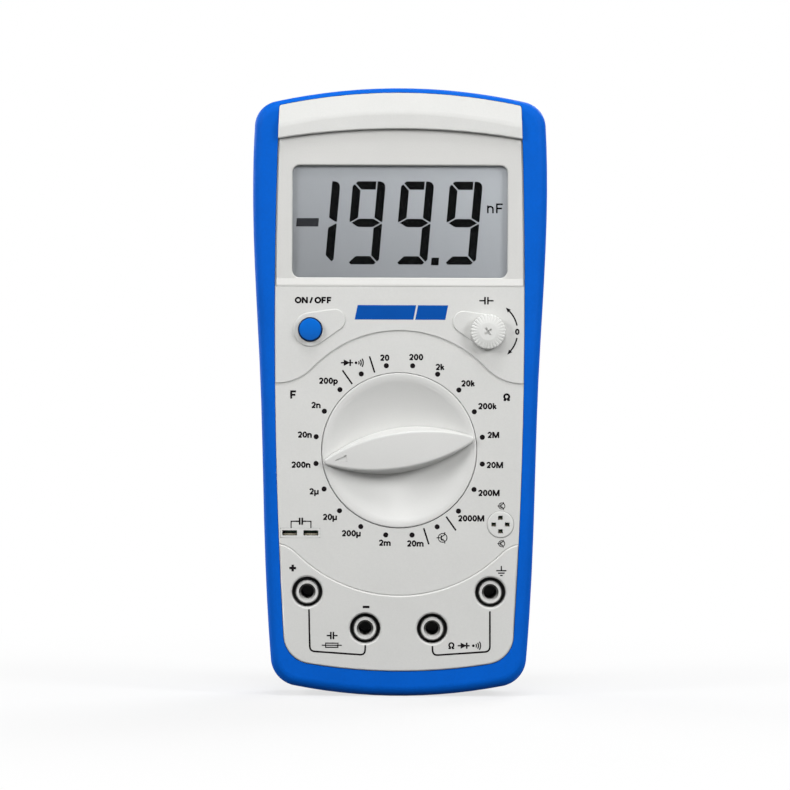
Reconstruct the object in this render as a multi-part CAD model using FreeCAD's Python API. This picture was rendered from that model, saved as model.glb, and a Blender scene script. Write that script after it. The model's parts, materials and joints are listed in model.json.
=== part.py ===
import FreeCAD
import Part
import math
import os
from collections import namedtuple

# Hand-held component tester, upright: X to the right, Y from the front to the back, Z up.
# All sizes are in millimetres.

Vector = FreeCAD.Vector
Outline = namedtuple("Outline", "top top_radius bottom bottom_radius"
                                " top_x side bottom_x top_corner bottom_corner")

# Overall size
HEIGHT = 189.0
DEPTH = 31.5

# Allowances: fits, how far a cutter runs past a face, how far a boss runs into its wall
FIT = 0.2
SNUG = 0.05
OVER = 1.0
LAP = 0.1
FAR = 60.0

# Outlines in the XZ plane: arched top and bottom, side points given for the right half
BOOT = Outline(HEIGHT, 180.0, 0.0, 168.0, 44.8,
               [(45.75, 160.0), (44.75, 126.0), (43.35, 100.0), (41.9, 52.0)], 39.1, 8.0, 9.0)
CORE = Outline(187.35, 178.35, 3.0, 165.0, 42.0, [(40.2, 100.0)], 36.9, 6.0, 7.0)
PANEL = Outline(187.35, 178.35, 7.9, 172.0, 37.5, [(38.7, 118.0)], 35.2, 0.8, 9.0)
PLATEAU = CORE._replace(top_corner=12.0, bottom_corner=13.0)
LEAST_CORNER = 0.4

# Levels along Y, front to back
DIAL_CREST = -DEPTH / 2
ZERO_FACE = -15.45
BUTTON_FACE = -14.3
BROW_FACE = -13.5
PAD_FACE = -12.85
PANEL_FACE = -12.5
LIP_FACE = -12.2
DIAL_ZONE_FACE = -12.1
DISPLAY_FACE = -11.9
SLEEVE_FACE = -11.3
DISPLAY_SEAT = -11.2
PANEL_BACK = -10.5
GLASS_SEAT = -10.4
GLASS_FRONT = -10.3
SHOULDER = -10.0
ROOF = -8.0
WELL_FLOOR = -6.5
SOCKET_BACK = -6.2
WELL_BACK = -4.9
ROTOR_FRONT = -4.75
JACK_WELL_FLOOR = -3.2
ROTOR_BACK = -1.95
BOARD_FRONT = -1.5
PARTING = 0.0
BOARD_BACK = 0.1
BACK_SHOULDER = 13.0
BACK_FACE = 14.75
BOOT_BACK = DEPTH / 2
CLEAR_FRONT = DIAL_CREST - OVER
CLEAR_BACK = BACK_FACE + OVER

# Case and boot
WALL = 2.0
BOOT_FIT = 0.12
RIM_ROUND = 3.2
LIP_ROUND = 0.5
BACK_LIP = 6.5
BACK_LIP_GAP = 0.25
BACK_ROUND = 0.6

# Brow and display
BROW_EDGE = 176.1
BROW_RADIUS = 233.0
BROW_SLOPE_RUN = 6.2
BROW_SLOPE_DROP = 1.8
BROW_CREASE = 5.0
BROW_ROUND = 0.4
DISPLAY_FOOT = 127.2
DISPLAY_BAND = (-FAR, FAR, DISPLAY_FOOT - 3.0, 170.0)
DISPLAY_GAP = 0.45
CHIN_TOP = 129.7
CHIN_LAND = 0.5
WINDOW = (-33.4, 33.4, 130.0, 164.8)
WINDOW_CORNER = 2.3
WINDOW_ROUND = 0.5
LENS = (-35.0, 35.0, 128.6, 166.2)
LENS_CORNER = 0.9
LENS_THICK = GLASS_SEAT - DISPLAY_SEAT
GLASS = (-36.0, 36.0, 126.6, 167.6)
GLASS_LEDGE = 3.6
GLASS_PLY = 1.2
HOLDER = (-37.2, 37.2, 130.4, 169.0)
HOLDER_OPENING = (-31.2, 31.2, 133.2, 167.2)
HOLDER_CORNER = 1.5
HOLDER_FLOOR = 1.4
STRIP = (-30.0, 30.0, 127.2, 129.4)

# Dial
DIAL_Z = 76.4
DIAL = (0.0, DIAL_Z)
DIAL_R = 24.0
DIAL_GAP = 0.2
DIAL_WALL = 1.6
DIAL_RIM = -12.35
DIAL_DISH = -8.6
DIAL_LAND = 1.7
DIAL_BLEND = 6.0
DIAL_EDGE = 0.35
DIAL_LIP = 0.5
DIAL_BACK = WELL_FLOOR - 0.25
DIAL_GROOVE = (22.4, 19.4)
DIAL_CAP = 2.2
POINTER_DEG = 189.0
POSITIONS = 20
GRIP_FOOT = (23.9, 7.2, 1.4)
GRIP_HEAD = (23.3, 5.4, 1.0)
GRIP_SINK = 0.7
GRIP_CROWN = 2.3
GRIP_ROUND = 0.8
ARROW_TIP = -20.2
ARROW_BASE = -16.4
ARROW_HALF = 1.1
ARROW_DEEP = 0.25
HUB_R = 9.0
STUB = 6.0

# Detent and contacts under the dial
ROTOR_R = 18.0
TRACK_R = 19.4
TRACK_WALL = 2.0
NOTCH_R = 1.1
NOTCH_IN = 0.4
BALL_R = 1.0
BALL_AT = 18.3
POCKET_FLOOR = 11.5
DETENT_Y = (ROTOR_FRONT + ROTOR_BACK) / 2
DETENTS = [POINTER_DEG + 90, POINTER_DEG - 90]
WIPERS = 6
WIPER_START = 15.0
WIPER_REACH = (7.0, 17.0)
WIPER_FEET = (8.0, 16.0)
WIPER_HALF = 0.6
WIPER_THICK = 0.2
WIPER_FOOT_R = 0.7
WIPER_FOOT_SINK = 0.27

# Steps in the panel round the dial: radius about the dial, side level, blend radius, side
UPPER_WAVE = (37.3, 97.3, 15.0, 1)
LOWER_WAVE = (45.1, 47.4, 10.0, -1)
WAVE_BEVEL = 0.8
WAVE_GROOVE = (0.25, 0.3)

# Power button and its switch
BUTTON = (-27.7, 113.8)
BUTTON_R = 3.55
BUTTON_GAP = 0.3
BUTTON_TRAVEL = 2.2
BUTTON_ROUND = 0.45
BUTTON_DISH_R = 40.0
BUTTON_DISH = 0.15
FLANGE = (PANEL_BACK + 0.2, PANEL_BACK + 1.0)
FLANGE_OUT = 1.0
PLUNGER_HALF = 2.0
PLUNGER_FRONT = -11.9
PLUNGER_BACK = -5.6
SWITCH_HALF = 4.0
SWITCH_FRONT = FLANGE[1] + BUTTON_TRAVEL + 0.4
SWITCH_FLOOR = -2.0
SPRING_R = 1.3
SPRING_WIRE = 0.3
SPRING_TURNS = 3

# Zero adjust knob and its potentiometer
ZERO = (27.4, 113.3)
ZERO_R = 5.45
ZERO_CROWN_R = 2.7
ZERO_FLUTES = 30
ZERO_FLUTE_R = (0.12, 0.42)
ZERO_RIB = (0.12, 0.34)
ZERO_SLOT = (1.35, 0.28, 0.75)
ZERO_SLOT_DEG = 35
ZERO_BASE = PAD_FACE - 0.12
SHAFT_R = 2.0
SHAFT_FRONT = -13.9
SHAFT_BACK = -4.2
ADJUSTER_R = 4.8
ADJUSTER_FRONT = -6.5

# Raised pads round the button and the knob
PAD_R = 5.3
PAD_TAIL = (7.5, 3.0)
PAD_TAIL_R = 3.4
PAD_ROUND = 0.3

# Jacks and sockets, as (x, z)
JACKS = {
    "jack_capacitor_plus": (-28.4, 32.4),
    "jack_capacitor_minus": (-10.4, 21.1),
    "jack_ohm": (10.4, 21.1),
    "jack_common": (28.4, 32.4),
}
JACK_BORE = 2.05
JACK_TUBE_R = 2.5
JACK_SHOULDER = (3.3, 0.45)
JACK_END = 8.0
JACK_CAP = 0.8
JACK_SINK = 2.0
SLEEVE_R = 3.65
SLEEVE_MOUTH = 2.6
SLEEVE_THROAT = 2.12
JACK_WELL_R = 4.9
JACK_WELL_WALL = 1.2
JACK_WELL_BEVEL = 0.3
JACK_FUNNEL = (0.3, 1.6)
SLOT_SOCKET = (-30.6, 50.7)
SLOT_SOCKET_HALF = (6.1, 1.45)
SLOT_PITCH = 6.6
SLOT_HALF = (2.3, 0.8)
SLOT_LEAF = (2.0, 0.2, -0.45)
HOLE_SOCKET = (31.5, 53.5)
HOLE_SOCKET_R = 4.2
HOLE_PITCH = 2.1
HOLE_HALF = (0.72, 0.62)
HOLE_PIN = (0.35, 0.18, -0.4)
CONTACT_TIP = -10.0

# Board and what stands on it
BOARD_ENDS = (-FAR, FAR, 15.0, 131.5)
FUSE_Z = 44.0
FUSE_Y = 4.2
FUSE_HALF = 10.0
FUSE_R = 2.6
FUSE_GLASS_R = 2.3
FUSE_BORE = 1.7
FUSE_CAP = 5.0
FUSE_CAP_END = 0.4
CLIP_X = 7.5
CLIP_HALF = (1.8, 3.1)
CLIP_MOUTH = 2.2
CLIP_RISE = 1.6
BUZZER = (0.0, 112.0)
BUZZER_R = 9.0
BUZZER_TALL = 3.2
BUZZER_HOLE = 1.2
CHIP = (-18.0, 62.0)
CHIP_HALF = (7.0, 10.0)
CHIP_LEVELS = (0.3, 2.5)
CHIP_LEGS = 10
CHIP_PITCH = 1.8
CHIP_LEG = (0.9, 0.3, 0.5)
CANS = [((18.0, 64.0), 3.1, 7.5), ((25.0, 66.0), 2.5, 7.0), ((18.0, 56.0), 2.5, 7.0)]

# Battery, its box and its door
BATTERY = (-26.0, 22.5, 136.4, 162.9)
BATTERY_FRONT = -5.0
BATTERY_BACK = 12.5
BATTERY_ROUND = 1.6
STUDS = [(3.75, 155.8), (3.75, 143.5)]
STUD_R = 2.9
STUD_TALL = 2.4
SNAP = (3.6, 12.0, 25.0)
SNAP_ROUND = 1.5
LEADS_Y = (2.2, 5.3)
LEAD_R = 0.65
LEAD_TOP = 138.4
LEAD_FOOT = 128.8
BOX = (-26.6, 28.2, 136.3, 164.2)
BOX_WALL = 2.5
DOOR = (-28.4, 30.0, 134.5, 166.0)
DOOR_CORNER = 2.0
DOOR_ROUND = 0.4
DOOR_SCREW = (0.8, 167.8)
DOOR_SCREW_SEAT = BACK_FACE - 0.9
DOOR_EAR_R = 4.4
HOOKS_X = (-14.0, 8.0)
HOOK = (8.0, 2.1, 1.5)
HOOK_FRONT = 11.4
DOOR_GRIPS = (-9.0, 10.6, [138.0, 140.0, 142.0, 144.0])
DOOR_GRIP = (0.9, 0.5)

# Tilt stand
STAND_X = 21.8
STAND_FOOT = 26.0
STAND_AXIS = (13.45, 110.0)
STAND_FRONT = 12.2
STAND_BACK = 14.7
STAND_CORNER = 6.0
STAND_ROUND = 0.4
STAND_PIN_R = 1.2
STAND_PIN = 2.2
STAND_HOLLOW = (-STAND_X + 4.0, STAND_X - 4.0, STAND_FOOT + 22.0, STAND_AXIS[1] - 8.0)
STAND_HOLLOW_DEEP = 0.7
STAND_RIBS = (-9.0, 9.0, [31.0, 33.2, 35.4])
STAND_RIB = (1.0, 0.6)
HEEL_X = 7.5
HEEL_TOP = 114.8
HEEL_FLOOR = 9.15
SCOOP_R = 9.0
SCOOP_Z = STAND_FOOT - 0.8
POCKET_WALL = 2.5
POCKET_FRONT = STAND_FRONT - 0.15

# Fasteners: places, seats and sizes (head radius, head height, shank radius, length)
CASE_SCREWS = [(-30.0, 174.5), (30.0, 174.5), (-25.0, 17.0), (25.0, 17.0)]
BOARD_SCREWS = [(-34.0, 97.0), (34.0, 97.0), (-33.0, 63.5), (33.0, 63.5)]
CASE_SCREW_SEAT = 5.0
CASE_SCREW = (2.7, 1.8, 1.35, 9.5)
BOARD_SCREW = (2.4, 1.6, 1.1, 5.5)
DOOR_SCREW_SIZE = (2.4, 0.8, 1.25, 6.0)
DIAL_SCREW = (3.4, 1.1, 1.2, 4.5)
RECESS_LONG = 0.6
RECESS_HALF = 0.13
RECESS_DEEP = 0.55
SCREW_ROUND = 0.45
FRONT_POST_R = 3.2
FRONT_POST_END = 1.5
REAR_POST_R = 4.6
REAR_POST_FRONT = 1.7
BOARD_POST_R = 2.8
PILOT_FIT = 0.02


def point(x, z, y=0.0):
    return Vector(x, y, z)


def line(a, b):
    return Part.LineSegment(a, b).toShape()


def arc(a, b, c):
    return Part.Arc(a, b, c).toShape()


def curve(points):
    """Arc through three points, or a spline through more."""
    if len(points) == 3:
        return arc(*points)
    spline = Part.BSplineCurve()
    spline.interpolate(points)
    return spline.toShape()


def slab(edges, front, back):
    """Solid between two depths over a closed loop of edges drawn at y = 0."""
    face = Part.Face(Part.Wire(edges))
    face.translate(Vector(0, front, 0))
    return face.extrude(Vector(0, back - front, 0))


def disc(centre, radius, front, back):
    x, z = centre
    return Part.makeCylinder(radius, back - front, Vector(x, front, z), Vector(0, 1, 0))


def ring(centre, outer, inner, front, back):
    return disc(centre, outer, front, back).cut(disc(centre, inner, front - OVER, back + OVER))


def cone(centre, front_radius, back_radius, front, back):
    x, z = centre
    place = Vector(x, front, z)
    return Part.makeCone(front_radius, back_radius, back - front, place, Vector(0, 1, 0))


def block(limits, front, back, corner=0.0):
    """Box from (left, right, low, high) limits, with its upright corners rounded."""
    left, right, low, high = limits
    solid = Part.makeBox(right - left, back - front, high - low, Vector(left, front, low))
    return solid.makeFillet(corner, depth_edges(solid)) if corner else solid


def lying_rod(radius, start, end, y, z):
    return Part.makeCylinder(radius, end - start, Vector(start, y, z), Vector(1, 0, 0))


def grow(limits, margin):
    left, right, low, high = limits
    return (left - margin, right + margin, low - margin, high + margin)


def around(centre, half_x, half_z):
    x, z = centre
    return (x - half_x, x + half_x, z - half_z, z + half_z)


def depth_edges(solid):
    """Edges that run straight along Y."""
    return [e for e in solid.Edges
            if e.BoundBox.XLength < 1e-6 and e.BoundBox.ZLength < 1e-6 and e.BoundBox.YLength > 0.1]


def level_edges(solid, level):
    """Edges that lie in the plane y = level."""
    return [e for e in solid.Edges
            if abs(e.BoundBox.YMin - level) < 1e-4 and abs(e.BoundBox.YMax - level) < 1e-4]


def soften(solid, level, radius):
    return solid.makeFillet(radius, level_edges(solid, level))


def polar(centre, radius, degrees):
    x, z = centre
    turn = math.radians(degrees)
    return (x + radius * math.cos(turn), z + radius * math.sin(turn))


def spun(solid, centre, degrees):
    """Copy turned about the Y axis through centre, from +X towards +Z."""
    copy = solid.copy()
    copy.rotate(Vector(centre[0], 0, centre[1]), Vector(0, -1, 0), degrees)
    return copy


def revolved(profile, centre):
    """Solid of revolution about the Y axis through centre, from (radius, y) points."""
    corners = [Vector(centre[0] + r, y, centre[1]) for r, y in profile]
    face = Part.Face(Part.makePolygon(corners + corners[:1]))
    return face.revolve(Vector(centre[0], 0, centre[1]), Vector(0, 1, 0), 360)


def prism(form, front, back, inset=0.0):
    """Solid with an arched outline, drawn in evenly by inset."""
    top_r = form.top_radius - inset
    bottom_r = form.bottom_radius - inset
    top_x = form.top_x - inset
    bottom_x = form.bottom_x - inset
    top_z = form.top - form.top_radius + math.sqrt(top_r ** 2 - top_x ** 2)
    bottom_z = form.bottom + form.bottom_radius - math.sqrt(bottom_r ** 2 - bottom_x ** 2)
    right = [(top_x, top_z)] + [(x - inset, z) for x, z in form.side] + [(bottom_x, bottom_z)]
    left = [(-x, z) for x, z in reversed(right)]
    solid = slab([
        arc(point(-top_x, top_z), point(0, form.top - inset), point(top_x, top_z)),
        curve([point(x, z) for x, z in right]),
        arc(point(bottom_x, bottom_z), point(0, form.bottom + inset), point(-bottom_x, bottom_z)),
        curve([point(x, z) for x, z in left]),
    ], front, back)
    upper = [e for e in depth_edges(solid) if abs(e.BoundBox.ZMin - top_z) < 1e-3]
    solid = solid.makeFillet(max(form.top_corner - inset, LEAST_CORNER), upper)
    lower = [e for e in depth_edges(solid) if abs(e.BoundBox.ZMin - bottom_z) < 1e-3]
    return solid.makeFillet(max(form.bottom_corner - inset, LEAST_CORNER), lower)


def boot():
    """Rubber boot: a rounded sleeve with a front lip round the panel and a lip on the back."""
    sleeve = prism(BOOT, LIP_FACE, BOOT_BACK)
    sleeve = soften(sleeve, LIP_FACE, RIM_ROUND)
    sleeve = soften(sleeve, BOOT_BACK, RIM_ROUND)
    room = prism(CORE, SHOULDER - BOOT_FIT, BACK_SHOULDER + BOOT_FIT, -BOOT_FIT)
    front_mouth = prism(PANEL, LIP_FACE - OVER, SHOULDER, -BOOT_FIT)
    back_mouth = prism(PLATEAU, BACK_SHOULDER, BOOT_BACK + OVER, BACK_LIP - BACK_LIP_GAP)
    return sleeve.cut([room, front_mouth, back_mouth])


def below_brow(front, back, gap=0.0):
    """Everything under the arched lower edge of the brow."""
    return disc((0, BROW_EDGE - BROW_RADIUS), BROW_RADIUS - gap, front, back)


def brow_slope():
    """Cutter that slopes the brow back towards the top."""
    inner = PANEL.top_radius - BROW_SLOPE_RUN
    outer = PANEL.top_radius + OVER
    drop = BROW_SLOPE_DROP * (outer - inner) / BROW_SLOPE_RUN
    above = BROW_FACE - OVER
    profile = [(inner, BROW_FACE), (outer, BROW_FACE + drop), (outer, above), (inner, above)]
    return revolved(profile, (0, PANEL.top - PANEL.top_radius))


def brow():
    """Raised band over the display, with a soft crease and a rounded lower edge."""
    band = prism(PANEL, BROW_FACE, SHOULDER).cut(below_brow(BROW_FACE - OVER, SHOULDER + OVER))
    band = band.cut(brow_slope())
    crests = [e for e in level_edges(band, BROW_FACE) if e.Length > PANEL.top_x]
    crease = max(crests, key=lambda e: e.BoundBox.ZMax)
    band = band.makeFillet(BROW_CREASE, [crease])
    crests = [e for e in level_edges(band, BROW_FACE) if e.Length > PANEL.top_x]
    edge = min(crests, key=lambda e: e.BoundBox.ZMax)
    return band.makeFillet(BROW_ROUND, [edge])


def wave(radius, level, blend, side):
    """Step line round the dial: level, reverse arc, arc about the dial and back, left to right."""
    rise = side * (level - DIAL_Z)
    reach = math.sqrt((radius + blend) ** 2 - (rise + blend) ** 2)
    share = radius / (radius + blend)
    meet = (reach * share, DIAL_Z + side * (rise + blend) * share)
    hub = (reach, level + side * blend)
    aim = math.atan2(meet[1] - hub[1], meet[0] - hub[0])
    down = -side * math.pi / 2
    turn = (aim - down + math.pi) % (2 * math.pi) - math.pi
    mid = (hub[0] + blend * math.cos(down + turn / 2), hub[1] + blend * math.sin(down + turn / 2))
    return [
        line(point(-FAR, level), point(-reach, level)),
        arc(point(-reach, level), point(-mid[0], mid[1]), point(-meet[0], meet[1])),
        arc(point(-meet[0], meet[1]), point(0, DIAL_Z + side * radius), point(*meet)),
        arc(point(*meet), point(*mid), point(reach, level)),
        line(point(reach, level), point(FAR, level)),
    ]


def dial_zone():
    """Shallow recess of the panel between the two step lines, its lower step bevelled."""
    radius, level, blend, side = LOWER_WAVE
    loops = []
    for grow_by in (WAVE_BEVEL, 0.0):
        lower = (radius + grow_by, level - grow_by, blend - grow_by, side)
        edges = wave(*UPPER_WAVE) + wave(*lower)
        edges += [line(point(x, UPPER_WAVE[1]), point(x, lower[1])) for x in (-FAR, FAR)]
        loop = Part.Wire(Part.__sortEdges__(edges))
        loop.translate(Vector(0, DIAL_ZONE_FACE - grow_by, 0))
        loops.append(loop)
    return Part.makeLoft(loops, True, True)


def wave_groove():
    """Fine groove along the foot of the lower step."""
    radius, level, blend, side = LOWER_WAVE
    wide, deep = WAVE_GROOVE
    edges = wave(*LOWER_WAVE) + wave(radius - wide, level + wide, blend + wide, side)
    edges += [line(point(x, level), point(x, level + wide)) for x in (-FAR, FAR)]
    return slab(Part.__sortEdges__(edges), CLEAR_FRONT, DIAL_ZONE_FACE + deep)


def panel_face():
    """Front plate of the cover: a rounded rim, the dial's zone and the start of the brow's slope."""
    plate = soften(prism(PANEL, PANEL_FACE, SHOULDER), PANEL_FACE, LIP_ROUND)
    return plate.cut([dial_zone(), wave_groove(), brow_slope()])


def pad(centre, side):
    """Raised drop-shaped pad round a control, its tail towards the middle of the panel."""
    tail = (centre[0] + side * PAD_TAIL[0], centre[1] + PAD_TAIL[1])
    base = math.degrees(math.atan2(PAD_TAIL[1], side * PAD_TAIL[0]))
    spread = math.degrees(math.acos((PAD_R - PAD_TAIL_R) / math.hypot(*PAD_TAIL)))
    big = [point(*polar(centre, PAD_R, base + a)) for a in (spread, 180, -spread)]
    small = [point(*polar(tail, PAD_TAIL_R, base + a)) for a in (-spread, 0, spread)]
    edges = [arc(*big), line(big[2], small[0]), arc(*small), line(small[2], big[0])]
    return soften(slab(edges, PAD_FACE, PANEL_FACE + FIT), PAD_FACE, PAD_ROUND)


def detent_track():
    """Ring under the dial well with one notch for each dial position."""
    track = ring(DIAL, TRACK_R + TRACK_WALL, TRACK_R, WELL_BACK - LAP, ROTOR_BACK - 2 * FIT)
    step = 360 / POSITIONS
    places = [polar(DIAL, TRACK_R - NOTCH_IN, POINTER_DEG + step * i) for i in range(POSITIONS)]
    return track.cut([disc(place, NOTCH_R, WELL_BACK, ROTOR_BACK) for place in places])


def jack_well(centre):
    """Cutters for one jack: funnel and gap round its sleeve, the lead-in and the seat of the tube."""
    narrow, deep = JACK_FUNNEL
    bevel = JACK_WELL_BEVEL
    throat = JACK_WELL_R - narrow
    seat = SLEEVE_FACE + JACK_SINK
    funnel = cone(centre, JACK_WELL_R, throat, PANEL_FACE, PANEL_FACE + deep)
    brim = disc(centre, SLEEVE_R + LAP, SLEEVE_FACE - LAP, SLEEVE_FACE + bevel)
    return [
        funnel.cut(disc(centre, SLEEVE_R, CLEAR_FRONT, PARTING)),
        ring(centre, throat, SLEEVE_R, CLEAR_FRONT, JACK_WELL_FLOOR),
        disc(centre, SLEEVE_R + LAP, CLEAR_FRONT, SLEEVE_FACE),
        brim.cut(cone(centre, SLEEVE_R - bevel, SLEEVE_R, SLEEVE_FACE, SLEEVE_FACE + bevel)),
        cone(centre, JACK_WELL_R + bevel, JACK_WELL_R, PANEL_FACE, PANEL_FACE + bevel),
        cone(centre, SLEEVE_MOUTH, SLEEVE_THROAT, SLEEVE_FACE, seat),
        disc(centre, JACK_TUBE_R + SNUG, seat, BOARD_FRONT),
    ]


def front_cover():
    """Moulded front half of the case, hollow behind the panel."""
    shell = prism(CORE, SHOULDER, PARTING).fuse([panel_face(), brow()])
    hollow = prism(PANEL, PANEL_BACK, ROOF, WALL).cut(block(DISPLAY_BAND, PANEL_BACK - OVER, ROOF))
    shell = shell.cut([prism(CORE, ROOF, PARTING + OVER, WALL), hollow])

    root = PANEL_BACK - LAP
    adds = [pad(BUTTON, 1), pad(ZERO, -1), detent_track(),
            disc(DIAL, DIAL_R + DIAL_GAP + DIAL_WALL, root, WELL_BACK)]
    adds += [disc(c, JACK_WELL_R + JACK_WELL_WALL, root, BOARD_FRONT - JACK_SHOULDER[1] - SNUG)
             for c in JACKS.values()]
    adds += [disc(c, FRONT_POST_R, root, FRONT_POST_END) for c in CASE_SCREWS]
    adds += [disc(c, BOARD_POST_R, root, BOARD_FRONT) for c in BOARD_SCREWS]

    pocket = block((-FAR, FAR, DISPLAY_FOOT, HEIGHT), CLEAR_FRONT, DISPLAY_SEAT)
    slot_room = [half + SNUG for half in SLOT_SOCKET_HALF]
    cuts = [
        pocket.common(below_brow(CLEAR_FRONT, DISPLAY_SEAT)),
        block(grow(LENS, FIT), CLEAR_FRONT, ROOF + OVER, LENS_CORNER + LAP),
        block(grow(GLASS, FIT), GLASS_SEAT, ROOF + OVER),
        disc(DIAL, DIAL_R + DIAL_GAP, CLEAR_FRONT, WELL_FLOOR),
        disc(DIAL, HUB_R + FIT, CLEAR_FRONT, ROTOR_FRONT),
        disc(BUTTON, BUTTON_R + BUTTON_GAP, CLEAR_FRONT, ROOF),
        disc(ZERO, SHAFT_R + BUTTON_GAP, CLEAR_FRONT, ROOF),
        block(around(SLOT_SOCKET, *slot_room), CLEAR_FRONT, SOCKET_BACK + FIT),
        disc(HOLE_SOCKET, HOLE_SOCKET_R + SNUG, CLEAR_FRONT, SOCKET_BACK + FIT),
    ]
    for centre in JACKS.values():
        cuts += jack_well(centre)
    cuts += [disc(c, CASE_SCREW[2] + PILOT_FIT, ROOF, FRONT_POST_END + OVER) for c in CASE_SCREWS]
    cuts += [disc(c, BOARD_SCREW[2] + PILOT_FIT, ROOF + OVER, BOARD_FRONT + OVER) for c in BOARD_SCREWS]
    return shell.fuse(adds).cut(cuts).removeSplitter()


def display_frame():
    """Plate round the display, with a chin that runs out to the panel below it."""
    plate = prism(PANEL, DISPLAY_FACE, DISPLAY_SEAT, DISPLAY_GAP)
    plate = plate.common(below_brow(DISPLAY_FACE, DISPLAY_SEAT, FIT))
    foot = DISPLAY_FOOT + LAP
    plate = plate.common(block((-FAR, FAR, foot, HEIGHT), DISPLAY_FACE, DISPLAY_SEAT))
    ledge = PANEL_FACE + SNUG
    corners = [(DISPLAY_SEAT, foot), (ledge, foot), (ledge, foot + CHIN_LAND),
               (DISPLAY_FACE, CHIN_TOP), (DISPLAY_SEAT, CHIN_TOP)]
    chin = [Vector(-FAR, y, z) for y, z in corners]
    wedge = Part.Face(Part.makePolygon(chin + chin[:1])).extrude(Vector(2 * FAR, 0, 0))
    plate = plate.fuse(wedge.common(prism(PANEL, PANEL_FACE, DISPLAY_SEAT, DISPLAY_GAP)))
    plate = plate.cut(block(WINDOW, CLEAR_FRONT, ROOF, WINDOW_CORNER)).removeSplitter()
    left, right, low, high = grow(WINDOW, LAP)
    rim = [e for e in level_edges(plate, DISPLAY_FACE)
           if left < e.BoundBox.XMin and e.BoundBox.XMax < right
           and low < e.BoundBox.ZMin and e.BoundBox.ZMax < high]
    return plate.makeFillet(WINDOW_ROUND, rim)


def display_window():
    """Clear lens behind the display frame."""
    return block(LENS, DISPLAY_SEAT, DISPLAY_SEAT + LENS_THICK, LENS_CORNER)


def display_panel():
    """Liquid crystal cell: two plies of glass, the front one with a contact ledge at the foot."""
    left, right, low, high = GLASS
    middle = GLASS_FRONT + GLASS_PLY
    front = block(GLASS, GLASS_FRONT, middle)
    return front.fuse(block((left, right, low + GLASS_LEDGE, high), middle, middle + GLASS_PLY))


def panel_holder():
    """Frame that presses the display panel against the front cover."""
    back = GLASS_FRONT + 2 * GLASS_PLY
    outer = block(HOLDER, ROOF, back + HOLDER_FLOOR, HOLDER_CORNER)
    seat = block(grow(GLASS, FIT), ROOF - OVER, back)
    return outer.cut([seat, block(HOLDER_OPENING, ROOF, back + 2 * HOLDER_FLOOR, HOLDER_CORNER)])


def connector_strip():
    """Rubber strip that joins the display panel's ledge to the board."""
    return block(STRIP, GLASS_FRONT + GLASS_PLY, BOARD_FRONT)


def main_board():
    """Circuit board, with holes for the dial screw, the jacks and the screws."""
    front = BOARD_FRONT - OVER
    back = BOARD_BACK + OVER
    board = prism(CORE, BOARD_FRONT, BOARD_BACK, WALL + OVER).common(block(BOARD_ENDS, front, back))
    holes = [disc(DIAL, DIAL_SCREW[0] + 3 * FIT, front, back)]
    holes += [disc(c, JACK_TUBE_R + SNUG, front, back) for c in JACKS.values()]
    holes += [disc(c, BOARD_SCREW[2] + FIT, front, back) for c in BOARD_SCREWS]
    holes += [disc(c, FRONT_POST_R + BUTTON_GAP, front, back) for c in CASE_SCREWS]
    return board.cut(holes)


def grip_loop(tip, half, end, level):
    """Lens-shaped loop with rounded ends about the dial's centre, along X."""
    reach = tip - end
    big = (reach ** 2 + half ** 2 - end ** 2) / (2 * (half - end))
    x = reach + end * reach / (big - end)
    z = end * (big - half) / (big - end)
    upper = [(-x, z), (0, half), (x, z)]
    right = [(x, z), (tip, 0), (x, -z)]
    loops = [upper, right, [(-a, -b) for a, b in upper], [(-a, -b) for a, b in right]]
    return Part.Wire([arc(*[point(a, DIAL_Z + b, level) for a, b in loop]) for loop in loops])


def dial_grip():
    """Crowned lens-shaped bar with drafted sides, a rounded crest and a sunk arrow."""
    foot = grip_loop(*GRIP_FOOT, DIAL_DISH + GRIP_SINK)
    head = grip_loop(*GRIP_HEAD, DIAL_CREST - GRIP_SINK)
    crown_r = (DIAL_R ** 2 + GRIP_CROWN ** 2) / (2 * GRIP_CROWN)
    hub = Vector(0, DIAL_CREST + crown_r, DIAL_Z)
    grip = Part.makeLoft([foot, head], True).common(Part.makeSphere(crown_r, hub))
    crest = max(grip.Faces, key=lambda f: -f.CenterOfMass.y)
    grip = grip.makeFillet(GRIP_ROUND, crest.Edges)
    arrow = [point(ARROW_TIP, DIAL_Z), point(ARROW_BASE, DIAL_Z + ARROW_HALF),
             point(ARROW_BASE, DIAL_Z - ARROW_HALF)]
    sides = [line(arrow[i], arrow[i - 1]) for i in range(3)]
    mark = slab(sides, CLEAR_FRONT, PARTING).cut(Part.makeSphere(crown_r - ARROW_DEEP, hub))
    return spun(grip.cut(mark), DIAL, POINTER_DEG - 180)


def dial_dish():
    """Dial plate with a flat rim that blends into a bowl."""
    sag = DIAL_DISH - DIAL_RIM
    lip = DIAL_R - DIAL_LAND
    bowl_r = (lip ** 2 + sag ** 2) / (2 * sag)
    bowl = Part.makeSphere(bowl_r, Vector(0, DIAL_DISH - bowl_r, DIAL_Z))
    plate = soften(disc(DIAL, DIAL_R, DIAL_RIM, DIAL_BACK), DIAL_RIM, DIAL_EDGE).cut(bowl)
    rims = [e for e in level_edges(plate, DIAL_RIM) if e.BoundBox.XMax < lip + LAP]
    return plate.makeFillet(DIAL_BLEND, rims)


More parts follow.
